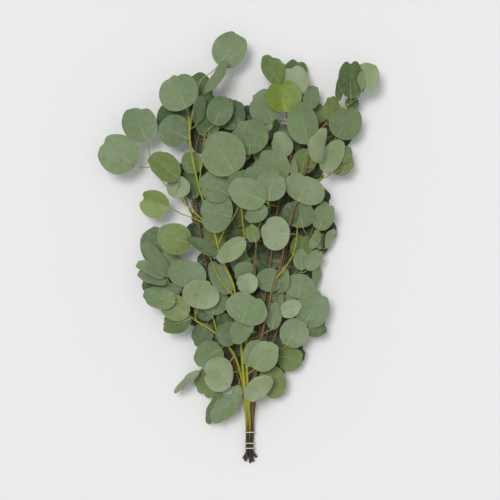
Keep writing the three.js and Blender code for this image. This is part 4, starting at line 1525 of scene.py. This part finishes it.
@dataclass(frozen=True)
class BladeForm:
    """One blade's own unevenness: its outline's waves and dips, its rim's ripple, and its colour draws."""

    waves: np.ndarray
    dips: np.ndarray
    ripples: np.ndarray
    tints: np.ndarray

    @classmethod
    def drawn(cls, draw: np.random.Generator) -> "BladeForm":
        """A form from seeded draws: three outline waves, three dips near the tip and three rim ripples.

        Args:
            draw: The branch's draws.

        Returns:
            The form.
        """
        waves = np.stack([draw.uniform(*WAVE_SHARE, 3) * WAVE_SIZES, draw.uniform(0, 2 * math.pi, 3)], -1)
        places = draw.uniform(-DIP_FURTHEST, DIP_FURTHEST, 3)
        depths = draw.uniform(0, 1, 3) ** DIP_POWER * DIP_DEPTHS
        dips = np.stack([places, depths, draw.uniform(*DIP_WIDE, 3)], -1)
        ripples = np.stack([draw.uniform(*RIPPLE_SHARE, 3) * RIPPLES, draw.uniform(0, 2 * math.pi, 3)], -1)
        return cls(waves, dips, ripples, draw.random(4))

    def hearted(self) -> "BladeForm":
        """The same form with its first dip deep and right at the tip, which makes the blade a heart."""
        return replace(self, dips=np.vstack([HEART_DIP, self.dips[1:]]))

    def reach(self, polar: np.ndarray, ring: np.ndarray) -> np.ndarray:
        """How far out a point of the blade moves, as a factor.

        One plus the square of the ring share times the change. The change is the sum of the second, third and
        fifth waves round the blade, less a bell for each dip, down to the deepest dip that is let be. At the
        stalk a third of it is left.

        Args:
            polar: The angle round the blade's middle, 0 at the tip.
            ring: The share of the way from the middle to the rim.

        Returns:
            The factor.
        """
        change = np.zeros_like(polar)
        for (size, phase), count in zip(self.waves, WAVE_COUNTS):
            change = change + size * np.cos(count * polar + phase)
        for place, depth, wide in self.dips:
            change = change - depth * np.exp(-(((polar - place) / wide) ** 2))
        change = np.maximum(change, -DIP_MOST)
        return 1 + ring**2 * change * (TIP_MORE[0] + TIP_MORE[1] * np.cos(polar))

    def ripple(self, polar: np.ndarray, ring: np.ndarray) -> np.ndarray:
        """The rim's height in millimetres: three waves round the blade times the cube of the ring share."""
        high = np.zeros_like(polar)
        for (size, phase), count in zip(self.ripples, WAVE_COUNTS):
            high = high + size * np.sin(count * polar + phase)
        return high * ring**3


@dataclass
class LeafMaker:
    """Makes fine blades and stalks from laid leaves."""

    rows: int = 24
    columns: int = 10
    column_mix: Pair = (0.35, 0.65)
    lime_share: Pair = (0.7, 0.3)
    lime_stray: float = 0.25
    pale_stray: float = 0.9
    stalk_bow: float = 0.4
    stalk_inside: float = 1.5
    thick: float = 0.5
    first_angle: float = 0.14
    last_angle: float = 0.05
    rib_wide: float = 2.0
    stalk_sides: int = 6
    stalk_steps: int = 9
    stalk_thin: float = 0.5
    stalk_thick: float = 0.75
    low_drop: float = 2.0
    low_reach: float = 0.85
    table_gap: float = 0.6

    def face(self, leaf: Leaf, angle: np.ndarray, share: np.ndarray, form: BladeForm) -> tuple:
        """The blade's middle surface.

        Its height out of the flat is the fold times the distance from the midrib, rounded at the rib, plus
        the curl along the midrib, plus the rim's ripple. The outline's waves and dips move a point out or in.

        Args:
            leaf: The laid leaf.
            angle: Outline angles.
            share: Shares of the half width.
            form: The blade's unevenness.

        Returns:
            The points, the distances along and across, and the ring share.
        """
        along, across, out = leaf.axes()
        u, v = leaf.flat_place(angle, share)
        half = leaf.length / 2
        polar = np.arctan2(v, u - half)
        ring = np.clip(np.hypot((u - half) / half, v / (leaf.width / 2)), 0, 1)
        reach = form.reach(polar, ring)
        u, v = half + (u - half) * reach, v * reach
        round_side = np.sqrt(v**2 + self.rib_wide**2) - self.rib_wide
        w = leaf.out_of_flat(u / leaf.length, round_side) + form.ripple(polar, ring)
        base = np.array([leaf.x, leaf.y, leaf.lift])
        points = base + u[..., None] * along + v[..., None] * across + w[..., None] * out
        return leaf.leaned(points), u, v, ring

    def add_blade(self, pile: MeshPile, leaf: Leaf, draw: np.random.Generator) -> None:
        """Adds a blade: its two faces half a millimetre apart, closed round the rim and at both ends.

        Args:
            pile: The piece's points and faces.
            leaf: The laid leaf.
            draw: The draws for its form and tone.
        """
        form = BladeForm.drawn(draw)
        if leaf.tone == Tone.BRIGHT.label:
            form = form.hearted()
        angle = np.linspace(self.first_angle, math.pi - self.last_angle, self.rows + 1)[:, None]
        even = np.linspace(-1, 1, self.columns + 1)
        share = np.sin(even * math.pi / 2)[None, :] * self.column_mix[0] + even[None, :] * self.column_mix[1]
        angle, share = np.broadcast_arrays(angle, share)
        middle, u, v, ring = self.face(leaf, angle, share, form)
        middle[..., 2] += max(0.0, self.table_gap - float(middle[..., 2].min()))
        out = leaf.axes()[2] * self.thick / 2
        points, u, v, ring = (
            np.concatenate([over, below[:, ::-1]], axis=1)
            for over, below in ((middle + out, middle - out), (u, u), (v, v), (ring, ring))
        )
        count, size = u.shape
        j = np.arange(self.columns)
        cap = np.stack([j, j + 1, size - 2 - j, size - 1 - j], -1)
        quads = [ring_quads(count, size)[:, [0, 3, 2, 1]], cap, (count - 1) * size + cap[:, ::-1]]
        place = np.stack([u / TENTH, v / TENTH + 0.5], -1)
        lime, pale, deep = Tone.shares(leaf.tone)
        look = np.zeros((count, size, 3))
        look[..., 0] = lime * (self.lime_share[0] + self.lime_share[1] * form.tints[0])
        look[..., 0] += self.lime_stray * form.tints[1] ** 2
        # The second look is pale less deep: the deep tone is partly darker green and partly painted shade,
        # the shade tone is painted shade
        look[..., 1] = pale - deep + self.pale_stray * (form.tints[2] - 0.5)
        look[:, self.columns + 1:, 2] = 1.0
        blade = np.stack([u / leaf.length, ring, np.full_like(u, form.tints[3])], -1)
        points, look, blade = (rows.reshape(-1, 3) for rows in (points, look, blade))
        pile.add(points, np.vstack(quads), look, place.reshape(-1, 2), blade)

    def add_stalk(self, pile: MeshPile, leaf: Leaf, look: np.ndarray) -> None:
        """Adds a leaf's stalk: a bowed rod from a little inside the blade to inside the twig.

        The stalk of a leaf below its twig runs low and rises only where the twig hides it.

        Args:
            pile: The piece's points and faces.
            leaf: The laid leaf.
            look: The stalk's look.
        """
        along = leaf.axes()[0]
        base, root = leaf.leaned(leaf.stalk[0]), leaf.stalk[-1]
        reach = float(np.linalg.norm(base - root))
        control = base - along * reach * self.stalk_bow
        if root[2] > base[2] + self.low_drop:
            control = base + (root - base) * (self.low_reach, self.low_reach, 0.0)
        elif len(leaf.stalk) == 3:
            control = 2 * leaf.stalk[1] - (base + root) / 2
        t = np.linspace(0, 1, self.stalk_steps)[:, None]
        start = base + along * self.stalk_inside
        path = (1 - t) ** 2 * start + 2 * t * (1 - t) * control + t**2 * root
        radius = np.linspace(self.stalk_thin, self.stalk_thick, self.stalk_steps)
        points, quads, place = tube(path, radius, self.stalk_sides)
        pile.add(points, quads, look, place / TENTH)


@dataclass
class StemMaker:
    """Makes fine stems and twigs from laid lines."""

    sides: int = 10
    step: float = 4.0
    wobble: float = 0.12
    wobble_up: float = 0.6
    wobble_mm: float = 26
    still_ends: float = 12
    swell_at: float = 0.22
    swell_long: float = 0.1
    knuckle_high: float = 0.28
    knuckle_long: float = 2.4

    def add_line(
        self,
        pile: MeshPile,
        line: np.ndarray,
        radii: Pair,
        look: np.ndarray,
        knuckles: np.ndarray,
        draw: np.random.Generator,
        swell: float,
    ) -> None:
        """Adds a stem or twig, a little uneven, thicker at the knuckles that the stalks leave from.

        The radius runs evenly from the first to the last value, times one plus a bell for the swell, and
        times one plus a bell at each knuckle. The middle of the cut end has the look of bare wood.

        Args:
            pile: The piece's points and faces.
            line: The laid line.
            radii: The radius at its start and end.
            look: The bark's look at the start and the end, one row each.
            knuckles: Places of the stalks' roots.
            draw: The draws for its unevenness.
            swell: How much thicker it is a fifth of the way along, as a share of the radius.
        """
        path = SmoothPath(line)
        count = max(4, int(path.length / self.step))
        centre = path.spaced(count)
        share = np.linspace(0, 1, count + 1)
        phase = draw.random(4) * 2 * math.pi
        turn = share * path.length / self.wobble_mm
        fade = np.minimum(1, self.still_ends * share) * np.minimum(1, self.still_ends * (1 - share))
        centre[:, 0] += self.wobble * fade * (np.sin(turn * 2 + phase[0]) + 0.5 * np.sin(turn * 5 + phase[1]))
        centre[:, 2] += self.wobble * fade * self.wobble_up * np.sin(turn * 3 + phase[2])
        radius = between(radii, share)
        radius = radius * (1 + swell * np.exp(-(((share - self.swell_at) / self.swell_long) ** 2)))
        if len(knuckles):
            far = np.linalg.norm(centre[:, None, :] - knuckles[None, :, :], axis=2)
            bell = np.exp(-((far / self.knuckle_long) ** 2)).max(1)
            radius = radius * (1 + self.knuckle_high * bell)
        points, quads, place = tube(centre, radius, self.sides)
        along = np.concatenate([np.repeat(share, self.sides), [0.0, 1.0]])[:, None]
        look_rows = between(look, along)
        look_rows[-2, 2] = 1.0
        pile.add(points, quads, look_rows, place / TENTH)


@dataclass
class Bunch:
    """The eight leafy branches, each dressed as a piece of blades and a piece of stems."""

    plans: Sequence[BranchPlan]
    leaf_maker: LeafMaker = field(default_factory=LeafMaker)
    stem_maker: StemMaker = field(default_factory=StemMaker)
    butt_share: float = 1.04
    twig_shares: Pair = (0.95, 0.65)
    girth_swell: float = 1.1
    twig_age: float = 0.5
    stalk_age: float = 1.6
    stalk_yellow: Pair = (0.45, 0.55)
    leaf_crease: float = 60.0
    stem_crease: float = 50.0

    def build(self, leaf_finish: Material, bark_finish: Material) -> None:
        """Lays and dresses every branch.

        Args:
            leaf_finish: The blades' material.
            bark_finish: The material of stems, twigs and stalks.
        """
        branches = Heap(self.plans).laid()
        Settling().settle(branches)
        for branch in branches:
            draw = np.random.default_rng(branch.plan.seed)
            blades, stems = MeshPile(), MeshPile()
            barks = (branch.plan.bark, branch.plan.twig_bark or branch.plan.bark)
            yellow = [1.0 if bark is Bark.YELLOW else 0.0 for bark in barks]
            roots = np.array([leaf.stalk[-1] for leaf in branch.leaves])
            girth = branch.plan.girth
            for i, line in enumerate(branch.lines):
                radii = (TWIG_RADIUS * self.twig_shares[0], TIP_RADIUS * self.twig_shares[1])
                fresh, age, swell = yellow[1], self.twig_age, 0.0
                if i == 0:
                    radii = (BUTT_RADIUS * self.butt_share, TIP_RADIUS * girth)
                    fresh, age, swell = yellow[0], 0.0, (girth - 1) * self.girth_swell
                look = np.array([(fresh, age, 0.0), (fresh, 1.0, 0.0)])
                self.stem_maker.add_line(stems, line, radii, look, roots, draw, swell)
            for leaf in branch.leaves:
                self.leaf_maker.add_blade(blades, leaf, draw)
                fresh = self.stalk_yellow[0] + self.stalk_yellow[1] * draw.random()
                self.leaf_maker.add_stalk(stems, leaf, np.array((fresh, self.stalk_age, 0.0)))
            for pile, part, finish, slot, crease in (
                (blades, "leaves", leaf_finish, "leaf", self.leaf_crease),
                (stems, "stems", bark_finish, "stem", self.stem_crease),
            ):
                piece = pile.piece(f"{branch.plan.name}_{part}", finish, crease)
                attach(piece, "root")
                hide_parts(branch.plan.name)


@dataclass
class TieStrand:
    """The wound strand: one turn high, a slanted crossing underneath, and two turns low."""

    turns: float = 3.16
    square: float = 5.5
    clearance: float = 0.45
    steps: int = 220
    sides: int = 18
    lay_long: float = 3.4
    start_angle: float = -math.pi * 0.5 - 0.25
    first_step: Pair = (0.9, 1.12)
    second_step: Pair = (1.9, 2.12)
    plies: int = 2
    ply_deep: float = 0.12
    ply_mean: float = 0.93
    end_thin: float = 0.6
    crease: float = 60.0

    def build(self, finish: Material) -> None:
        """Makes the strand as a twisted two-ply cord along its route.

        The route is a squared ellipse round the stems: at each turn angle the reach is the power mean of its
        cosine and sine, and its place along the bunch steps down between the turns.

        Args:
            finish: The strand's material.
        """
        turn = np.linspace(0, self.turns, self.steps)
        angle = self.start_angle + 2 * math.pi * turn
        wide = SLOT_WIDE + BUTT_RADIUS + self.clearance + STRAND_RADIUS
        high = SLOT_HIGH + BUTT_RADIUS + self.clearance + STRAND_RADIUS
        powers = np.abs(np.cos(angle)) ** self.square + np.abs(np.sin(angle)) ** self.square
        reach = powers ** (-1 / self.square)
        first, second = (
            np.array([smoothstep(t, *step) for t in turn]) for step in (self.first_step, self.second_step)
        )
        y = TIE_TOP_Y + (TIE_MIDDLE_Y - TIE_TOP_Y) * first + (TIE_LOW_Y - TIE_MIDDLE_Y) * second
        x = BUNDLE_X + wide * reach * np.cos(angle)
        z = BUNDLE_LOW + SLOT_HIGH + high * reach * np.sin(angle)
        path = np.stack([x, y, z], -1)
        radius = np.full(self.steps, STRAND_RADIUS * self.ply_mean)
        radius[0] = radius[-1] = STRAND_RADIUS * self.end_thin
        twist = 2 * math.pi / self.lay_long
        points, quads, place = tube(path, radius, self.sides, self.plies, self.ply_deep, twist)
        pile = MeshPile()
        pile.add(points, quads, np.zeros(3), place / TENTH)
        piece = pile.piece("tie_strand", finish, self.crease)
        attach(piece, "root")
        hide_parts("tie")


def linear(hex_colour: str) -> tuple[float, float, float, float]:
    """An sRGB hex colour as linear red, green, blue and full alpha."""
    parts = [int(hex_colour[i:i + 2], 16) / 255 for i in (1, 3, 5)]
    made = [p / 12.92 if p <= 0.04045 else ((p + 0.055) / 1.055) ** 2.4 for p in parts]
    return made[0], made[1], made[2], 1.0


class NodeBoard:
    """A material's node tree and the functions that add to it."""

    def __init__(self, name: str) -> None:
        """Starts a material with only its output."""
        self.material = bpy.data.materials.new(name)
        self.material.use_nodes = True
        self.tree = self.material.node_tree
        self.tree.nodes.clear()
        self.output = self.tree.nodes.new("ShaderNodeOutputMaterial")

    def add(self, kind: str, settings: dict | None = None, **inputs: object) -> bpy.types.Node:
        """Adds a node with its settings and inputs.

        Args:
            kind: The node's type.
            settings: Its properties.
            **inputs: Its inputs by name, spaces as underscores, or by number as i0, i1: a value or a socket.

        Returns:
            The node.
        """
        node = self.tree.nodes.new(kind)
        for key, value in (settings or {}).items():
            setattr(node, key, value)
        for key, value in inputs.items():
            number = key[0] == "i" and key[1:].isdigit()
            socket = node.inputs[int(key[1:])] if number else node.inputs[key.replace("_", " ")]
            if isinstance(value, Socket):
                self.tree.links.new(value, socket)
            else:
                socket.default_value = value
        return node

    def place(self) -> Socket:
        """The place in the piece, in metres."""
        return self.add("ShaderNodeTexCoord").outputs["Object"]

    def parts(self, vector: Socket) -> Sequence[Socket]:
        """A vector's three parts."""
        return self.add("ShaderNodeSeparateXYZ", None, Vector=vector).outputs[:3]

    def attribute(self, name: str) -> Sequence[Socket]:
        """The three parts of an attribute that the mesh's points carry."""
        return self.parts(self.add("ShaderNodeAttribute", {"attribute_name": name}).outputs["Vector"])

    def ramp(
        self, value: Socket, low: float, high: float, to_low: float = 0.0, to_high: float = 1.0
    ) -> Socket:
        """A smooth step of a value between low and high, from one result to another."""
        smooth = {"interpolation_type": "SMOOTHSTEP"}
        node = self.add("ShaderNodeMapRange", smooth, i0=value, i1=low, i2=high, i3=to_low, i4=to_high)
        return node.outputs[0]

    def maths(self, operation: str, *values: object) -> Socket:
        """One operation on values or sockets."""
        inputs = {f"i{i}": value for i, value in enumerate(values)}
        return self.add("ShaderNodeMath", {"operation": operation}, **inputs).outputs[0]

    def mix(self, share: object, first: object, second: object) -> Socket:
        """A mix of two colours, each a socket or a hex colour."""
        first, second = (linear(side) if isinstance(side, str) else side for side in (first, second))
        return self.add("ShaderNodeMix", {"data_type": "RGBA"}, i0=share, i6=first, i7=second).outputs[2]

    def noise(
        self, vector: Socket, wave_mm: float, detail: float = 2.0, **more: object
    ) -> Socket:
        """A noise value with waves of a length."""
        inputs = {"Vector": vector, "Scale": 1000 / wave_mm, "Detail": detail, **more}
        return self.add("ShaderNodeTexNoise", None, **inputs).outputs[0]

    def bump(self, strength: float, distance: float, height: Socket) -> Socket:
        """The normal over a height of up to a distance in metres."""
        node = self.add("ShaderNodeBump", None, Strength=strength, Distance=distance, Height=height)
        return node.outputs[0]

    def finished(self, colour: Socket, roughness: float, **more: object) -> Material:
        """The material, once its shader is added.

        Args:
            colour: The base colour.
            roughness: How rough it is.
            **more: The shader's further inputs by name, spaces as underscores.

        Returns:
            The material.
        """
        shader = self.add("ShaderNodeBsdfPrincipled", None, Base_Color=colour, Roughness=roughness, **more)
        self.tree.links.new(shader.outputs[0], self.output.inputs[0])
        return self.material


@dataclass(frozen=True)
class LeafFinish:
    """Silver-dollar eucalyptus leaf: grown, matte, with a waxy bloom that greys and evens the green.

    The bloom is rubbed off in soft patches, where the green is yellower. The rib is pale and fades towards
    the tip, the side veins hardly show, and the rim is a thin pale line. The deep colour is partly the
    leaves' darker green and partly painted shade on leaves that lie in shade; the shade colour is painted
    shade for the dark gaps. A ramp's values are the two ends of what goes in and, where they aren't nothing
    and one, of what comes out.
    """

    grey: str = "#70845f"
    lime: str = "#6b7f3c"
    bright: str = "#748a24"
    pale: str = "#93a17e"
    # deep: partly darker green, partly painted shade, and the bare green where the bloom is rubbed off;
    # shade: painted shade of the dark gaps
    deep: str = "#4a613c"
    shade: str = "#202b16"
    under: str = "#8b9a83"
    rib: str = "#a9b07e"
    rim: str = "#9a9a74"
    blemish: str = "#5f5230"
    roughness: float = 0.58
    bloom_mm: float = 7.0
    patch_mm: float = 34.0
    scar_mm: float = 6.0
    vein_mm: float = 3.4
    rib_mm: float = 0.7
    bright_ramp: Ramp = (1.3, 1.5)
    painted_shade_ramp: Ramp = (-1.4, -1.8)
    patch_ramp: Ramp = (0.42, 0.72, 0.0, 0.5)
    bloom_ramp: Ramp = (0.42, 0.75, 0.0, 0.28)
    bare_ramp: Ramp = (0.45, 0.25, 0.0, 0.3)
    under_share: float = 0.65
    vein_slant: float = 0.9
    vein_ramp: Ramp = (0.9, 1.0, 0.0, 0.12)
    rib_fade: Ramp = (0.62, 0.1, 0.08, 1.0)
    rib_share: float = 0.75
    rim_ramp: Ramp = (0.955, 1.0, 0.0, 0.45)
    scar_ramp: Ramp = (0.76, 0.82)
    scar_draw: float = 0.14
    scar_share: float = 0.7
    bloom_high: float = 0.3
    line_high: float = -0.5
    shine: float = 0.4

    def material(self) -> Material:
        """The finish's nodes."""
        board = NodeBoard("waxy_leaf")
        place = board.place()
        lime, pale, under = board.attribute("look")
        along, ring, drawn = board.attribute("blade")
        u, v, _ = board.parts(board.add("ShaderNodeUVMap", {"uv_map": "surface"}).outputs[0])
        off_rib = board.maths("ABSOLUTE", board.maths("SUBTRACT", v, 0.5))
        patch = board.noise(place, self.patch_mm)
        bloom = board.noise(place, self.bloom_mm, 4.0, Roughness=0.6)
        colour = board.mix(board.ramp(lime, 0.0, 1.0), self.grey, self.lime)
        for share, other in (
            (board.ramp(lime, *self.bright_ramp), self.bright),
            (board.ramp(pale, 0.0, 1.0), self.pale),
            # the deep tone, partly painted shade, and the shade tone, painted shade
            (board.ramp(pale, 0.0, -1.0), self.deep),
            (board.ramp(pale, *self.painted_shade_ramp), self.shade),
            (board.ramp(patch, *self.patch_ramp), self.lime),
            (board.ramp(bloom, *self.bloom_ramp), self.pale),
            (board.ramp(bloom, *self.bare_ramp), self.deep),
            (board.maths("MULTIPLY", under, self.under_share), self.under),
        ):
            colour = board.mix(share, colour, other)
        slant = board.maths("SUBTRACT", u, board.maths("MULTIPLY", off_rib, self.vein_slant))
        wave = board.maths("SINE", board.maths("MULTIPLY", slant, 2 * math.pi * TENTH / self.vein_mm / 2))
        vein = board.ramp(wave, *self.vein_ramp)
        near_rib = board.ramp(off_rib, self.rib_mm / TENTH, self.rib_mm / TENTH / 3)
        rib = board.maths("MULTIPLY", near_rib, board.ramp(along, *self.rib_fade))
        lines = board.maths("MAXIMUM", vein, board.maths("MULTIPLY", rib, self.rib_share))
        spots = board.noise(place, self.scar_mm, 4.0, Roughness=0.65)
        spots = board.maths("ADD", spots, board.maths("MULTIPLY", drawn, self.scar_draw))
        marked = board.maths("MULTIPLY", board.ramp(spots, *self.scar_ramp), self.scar_share)
        for share, other in (
            (lines, self.rib),
            (board.ramp(ring, *self.rim_ramp), self.rim),
            (marked, self.blemish),
        ):
            colour = board.mix(share, colour, other)
        bloom_height = board.maths("MULTIPLY", bloom, self.bloom_high)
        height = board.maths("ADD", bloom_height, board.maths("MULTIPLY", lines, self.line_high))
        normal = board.bump(0.4, 0.0008, height)
        return board.finished(colour, self.roughness, Normal=normal, Specular_IOR_Level=self.shine)


@dataclass(frozen=True)
class BarkFinish:
    """Young eucalyptus bark: smooth and thin, brown at the cut, yellow-green or brown on the fresh wood."""

    butt: str = "#362616"
    brown: str = "#7f5d3a"
    yellow: str = "#a2a21e"
    stalk_brown: str = "#8c7a4a"
    stalk_yellow: str = "#9aa050"
    wood: str = "#4a3825"
    roughness: float = 0.55
    streak_mm: float = 1.6
    streak_long: float = 0.2
    butt_ramp: Ramp = (0.05, 0.13)
    stalk_ramp: Ramp = (0.7, 1.4)
    streak_ramp: Ramp = (0.45, 0.75, 0.0, 0.35)
    cut_ramp: Ramp = (0.4, 0.9)

    def material(self) -> Material:
        """The finish: colour from cut end to tip, long streaks, and the darker cut face."""
        board = NodeBoard("young_bark")
        yellow, age, cut = board.attribute("look")
        stretched = board.add(
            "ShaderNodeMapping", None, Vector=board.place(), Scale=(1.0, self.streak_long, 1.0)
        ).outputs[0]
        streak = board.noise(stretched, self.streak_mm, 3.0)
        fresh = board.mix(yellow, self.brown, self.yellow)
        stalk = board.mix(yellow, self.stalk_brown, self.stalk_yellow)
        colour = board.mix(board.ramp(age, *self.butt_ramp), self.butt, fresh)
        colour = board.mix(board.ramp(age, *self.stalk_ramp), colour, stalk)
        colour = board.mix(board.ramp(streak, *self.streak_ramp), colour, self.butt)
        colour = board.mix(board.ramp(cut, *self.cut_ramp), colour, self.wood)
        return board.finished(colour, self.roughness, Normal=board.bump(0.4, 0.0004, streak))


@dataclass(frozen=True)
class StrandFinish:
    """Garden twine: two twisted plies, matte, nearly white with a green tinge."""

    light: str = "#f0f7ec"
    dark: str = "#cfdcca"
    roughness: float = 0.85
    fibre_mm: float = 0.5
    fibre_ramp: Ramp = (0.35, 0.7)

    def material(self) -> Material:
        """The finish: pale fibres with darker ones between."""
        board = NodeBoard("pale_twine")
        fibre = board.noise(board.place(), self.fibre_mm)
        colour = board.mix(board.ramp(fibre, *self.fibre_ramp), self.dark, self.light)
        return board.finished(colour, self.roughness, Normal=board.bump(0.5, 0.0002, fibre))


@dataclass
class Studio:
    """The pale table, the soft light from the upper left, and the camera straight above."""

    table_colour: str = "#f0f0f0"
    table_grain: str = "#d8d8d8"
    table_grain_mm: float = 2.5
    table_grain_ramp: Ramp = (0.3, 0.7, 0.0, 0.02)
    table_roughness: float = 0.9
    table_shine: float = 0.1
    table_side: float = 40.0
    table_top: float = -0.0004
    aim: tuple[float, float, float] = (0.0161, -0.0014, 0.03)
    camera_high: float = 3.0
    camera_far: float = 100.0
    view_side: float = 0.7
    sensor_mm: float = 36.0
    sky: float = 0.36
    window_power: float = 1.5
    window_soft_deg: float = 18.0
    window_tilt_deg: Pair = (-10.0, -11.0)
    ceiling_power: float = 0.45
    ceiling_soft_deg: float = 70.0

    def build(self) -> None:
        """Makes the table, the lights and the camera."""
        side = self.table_side / 2
        corners = [(-side, -side), (side, -side), (side, side), (-side, side)]
        mesh = bpy.data.meshes.new("table")
        mesh.from_pydata([(x, y, self.table_top) for x, y in corners], [], [(0, 1, 2, 3)])
        board = NodeBoard("pale_table")
        grain = board.noise(board.place(), self.table_grain_mm)
        colour = board.mix(board.ramp(grain, *self.table_grain_ramp), self.table_colour, self.table_grain)
        finish = board.finished(colour, self.table_roughness, Specular_IOR_Level=self.table_shine)
        mesh.materials.append(finish)
        table = bpy.data.objects.new("table", mesh)
        bpy.context.scene.collection.objects.link(table)
        world = bpy.data.worlds.new("soft_room")
        world.use_nodes = True
        background = world.node_tree.nodes["Background"]
        background.inputs[0].default_value = (1.0, 1.0, 1.0, 1.0)
        background.inputs[1].default_value = self.sky
        bpy.context.scene.world = world
        self.add_light("window", self.window_power, self.window_soft_deg, self.window_tilt_deg)
        self.add_light("ceiling", self.ceiling_power, self.ceiling_soft_deg, (0.0, 0.0))
        camera = bpy.data.cameras.new("above")
        camera.sensor_width = self.sensor_mm
        camera.lens = self.sensor_mm * self.camera_high / self.view_side
        camera.dof.use_dof = False
        camera.clip_end = self.camera_far
        holder = bpy.data.objects.new("above", camera)
        holder.location = (self.aim[0], self.aim[1], self.aim[2] + self.camera_high)
        bpy.context.scene.collection.objects.link(holder)
        bpy.context.scene.camera = holder
        bpy.context.scene.view_settings.view_transform = "Standard"

    @staticmethod
    def add_light(name: str, power: float, soft_deg: float, tilt_deg: Pair) -> None:
        """Adds a distant soft light.

        Args:
            name: The light's name.
            power: Its strength.
            soft_deg: The angle it spreads over.
            tilt_deg: Its tilt from straight down, about X and about Y.
        """
        light = bpy.data.lights.new(name, "SUN")
        light.energy = power
        light.angle = math.radians(soft_deg)
        lamp = bpy.data.objects.new(name, light)
        lamp.rotation_euler = [math.radians(v) for v in (*tilt_deg, 0.0)]
        bpy.context.scene.collection.objects.link(lamp)


def main() -> None:
    """Builds the studio, the branches and the tie."""
    logging.basicConfig(level=logging.INFO, format="%(name)s: %(message)s")
    Studio().build()
    Bunch(BRANCHES).build(LeafFinish().material(), BarkFinish().material())
    TieStrand().build(StrandFinish().material())


if __name__ == "__main__":
    main()
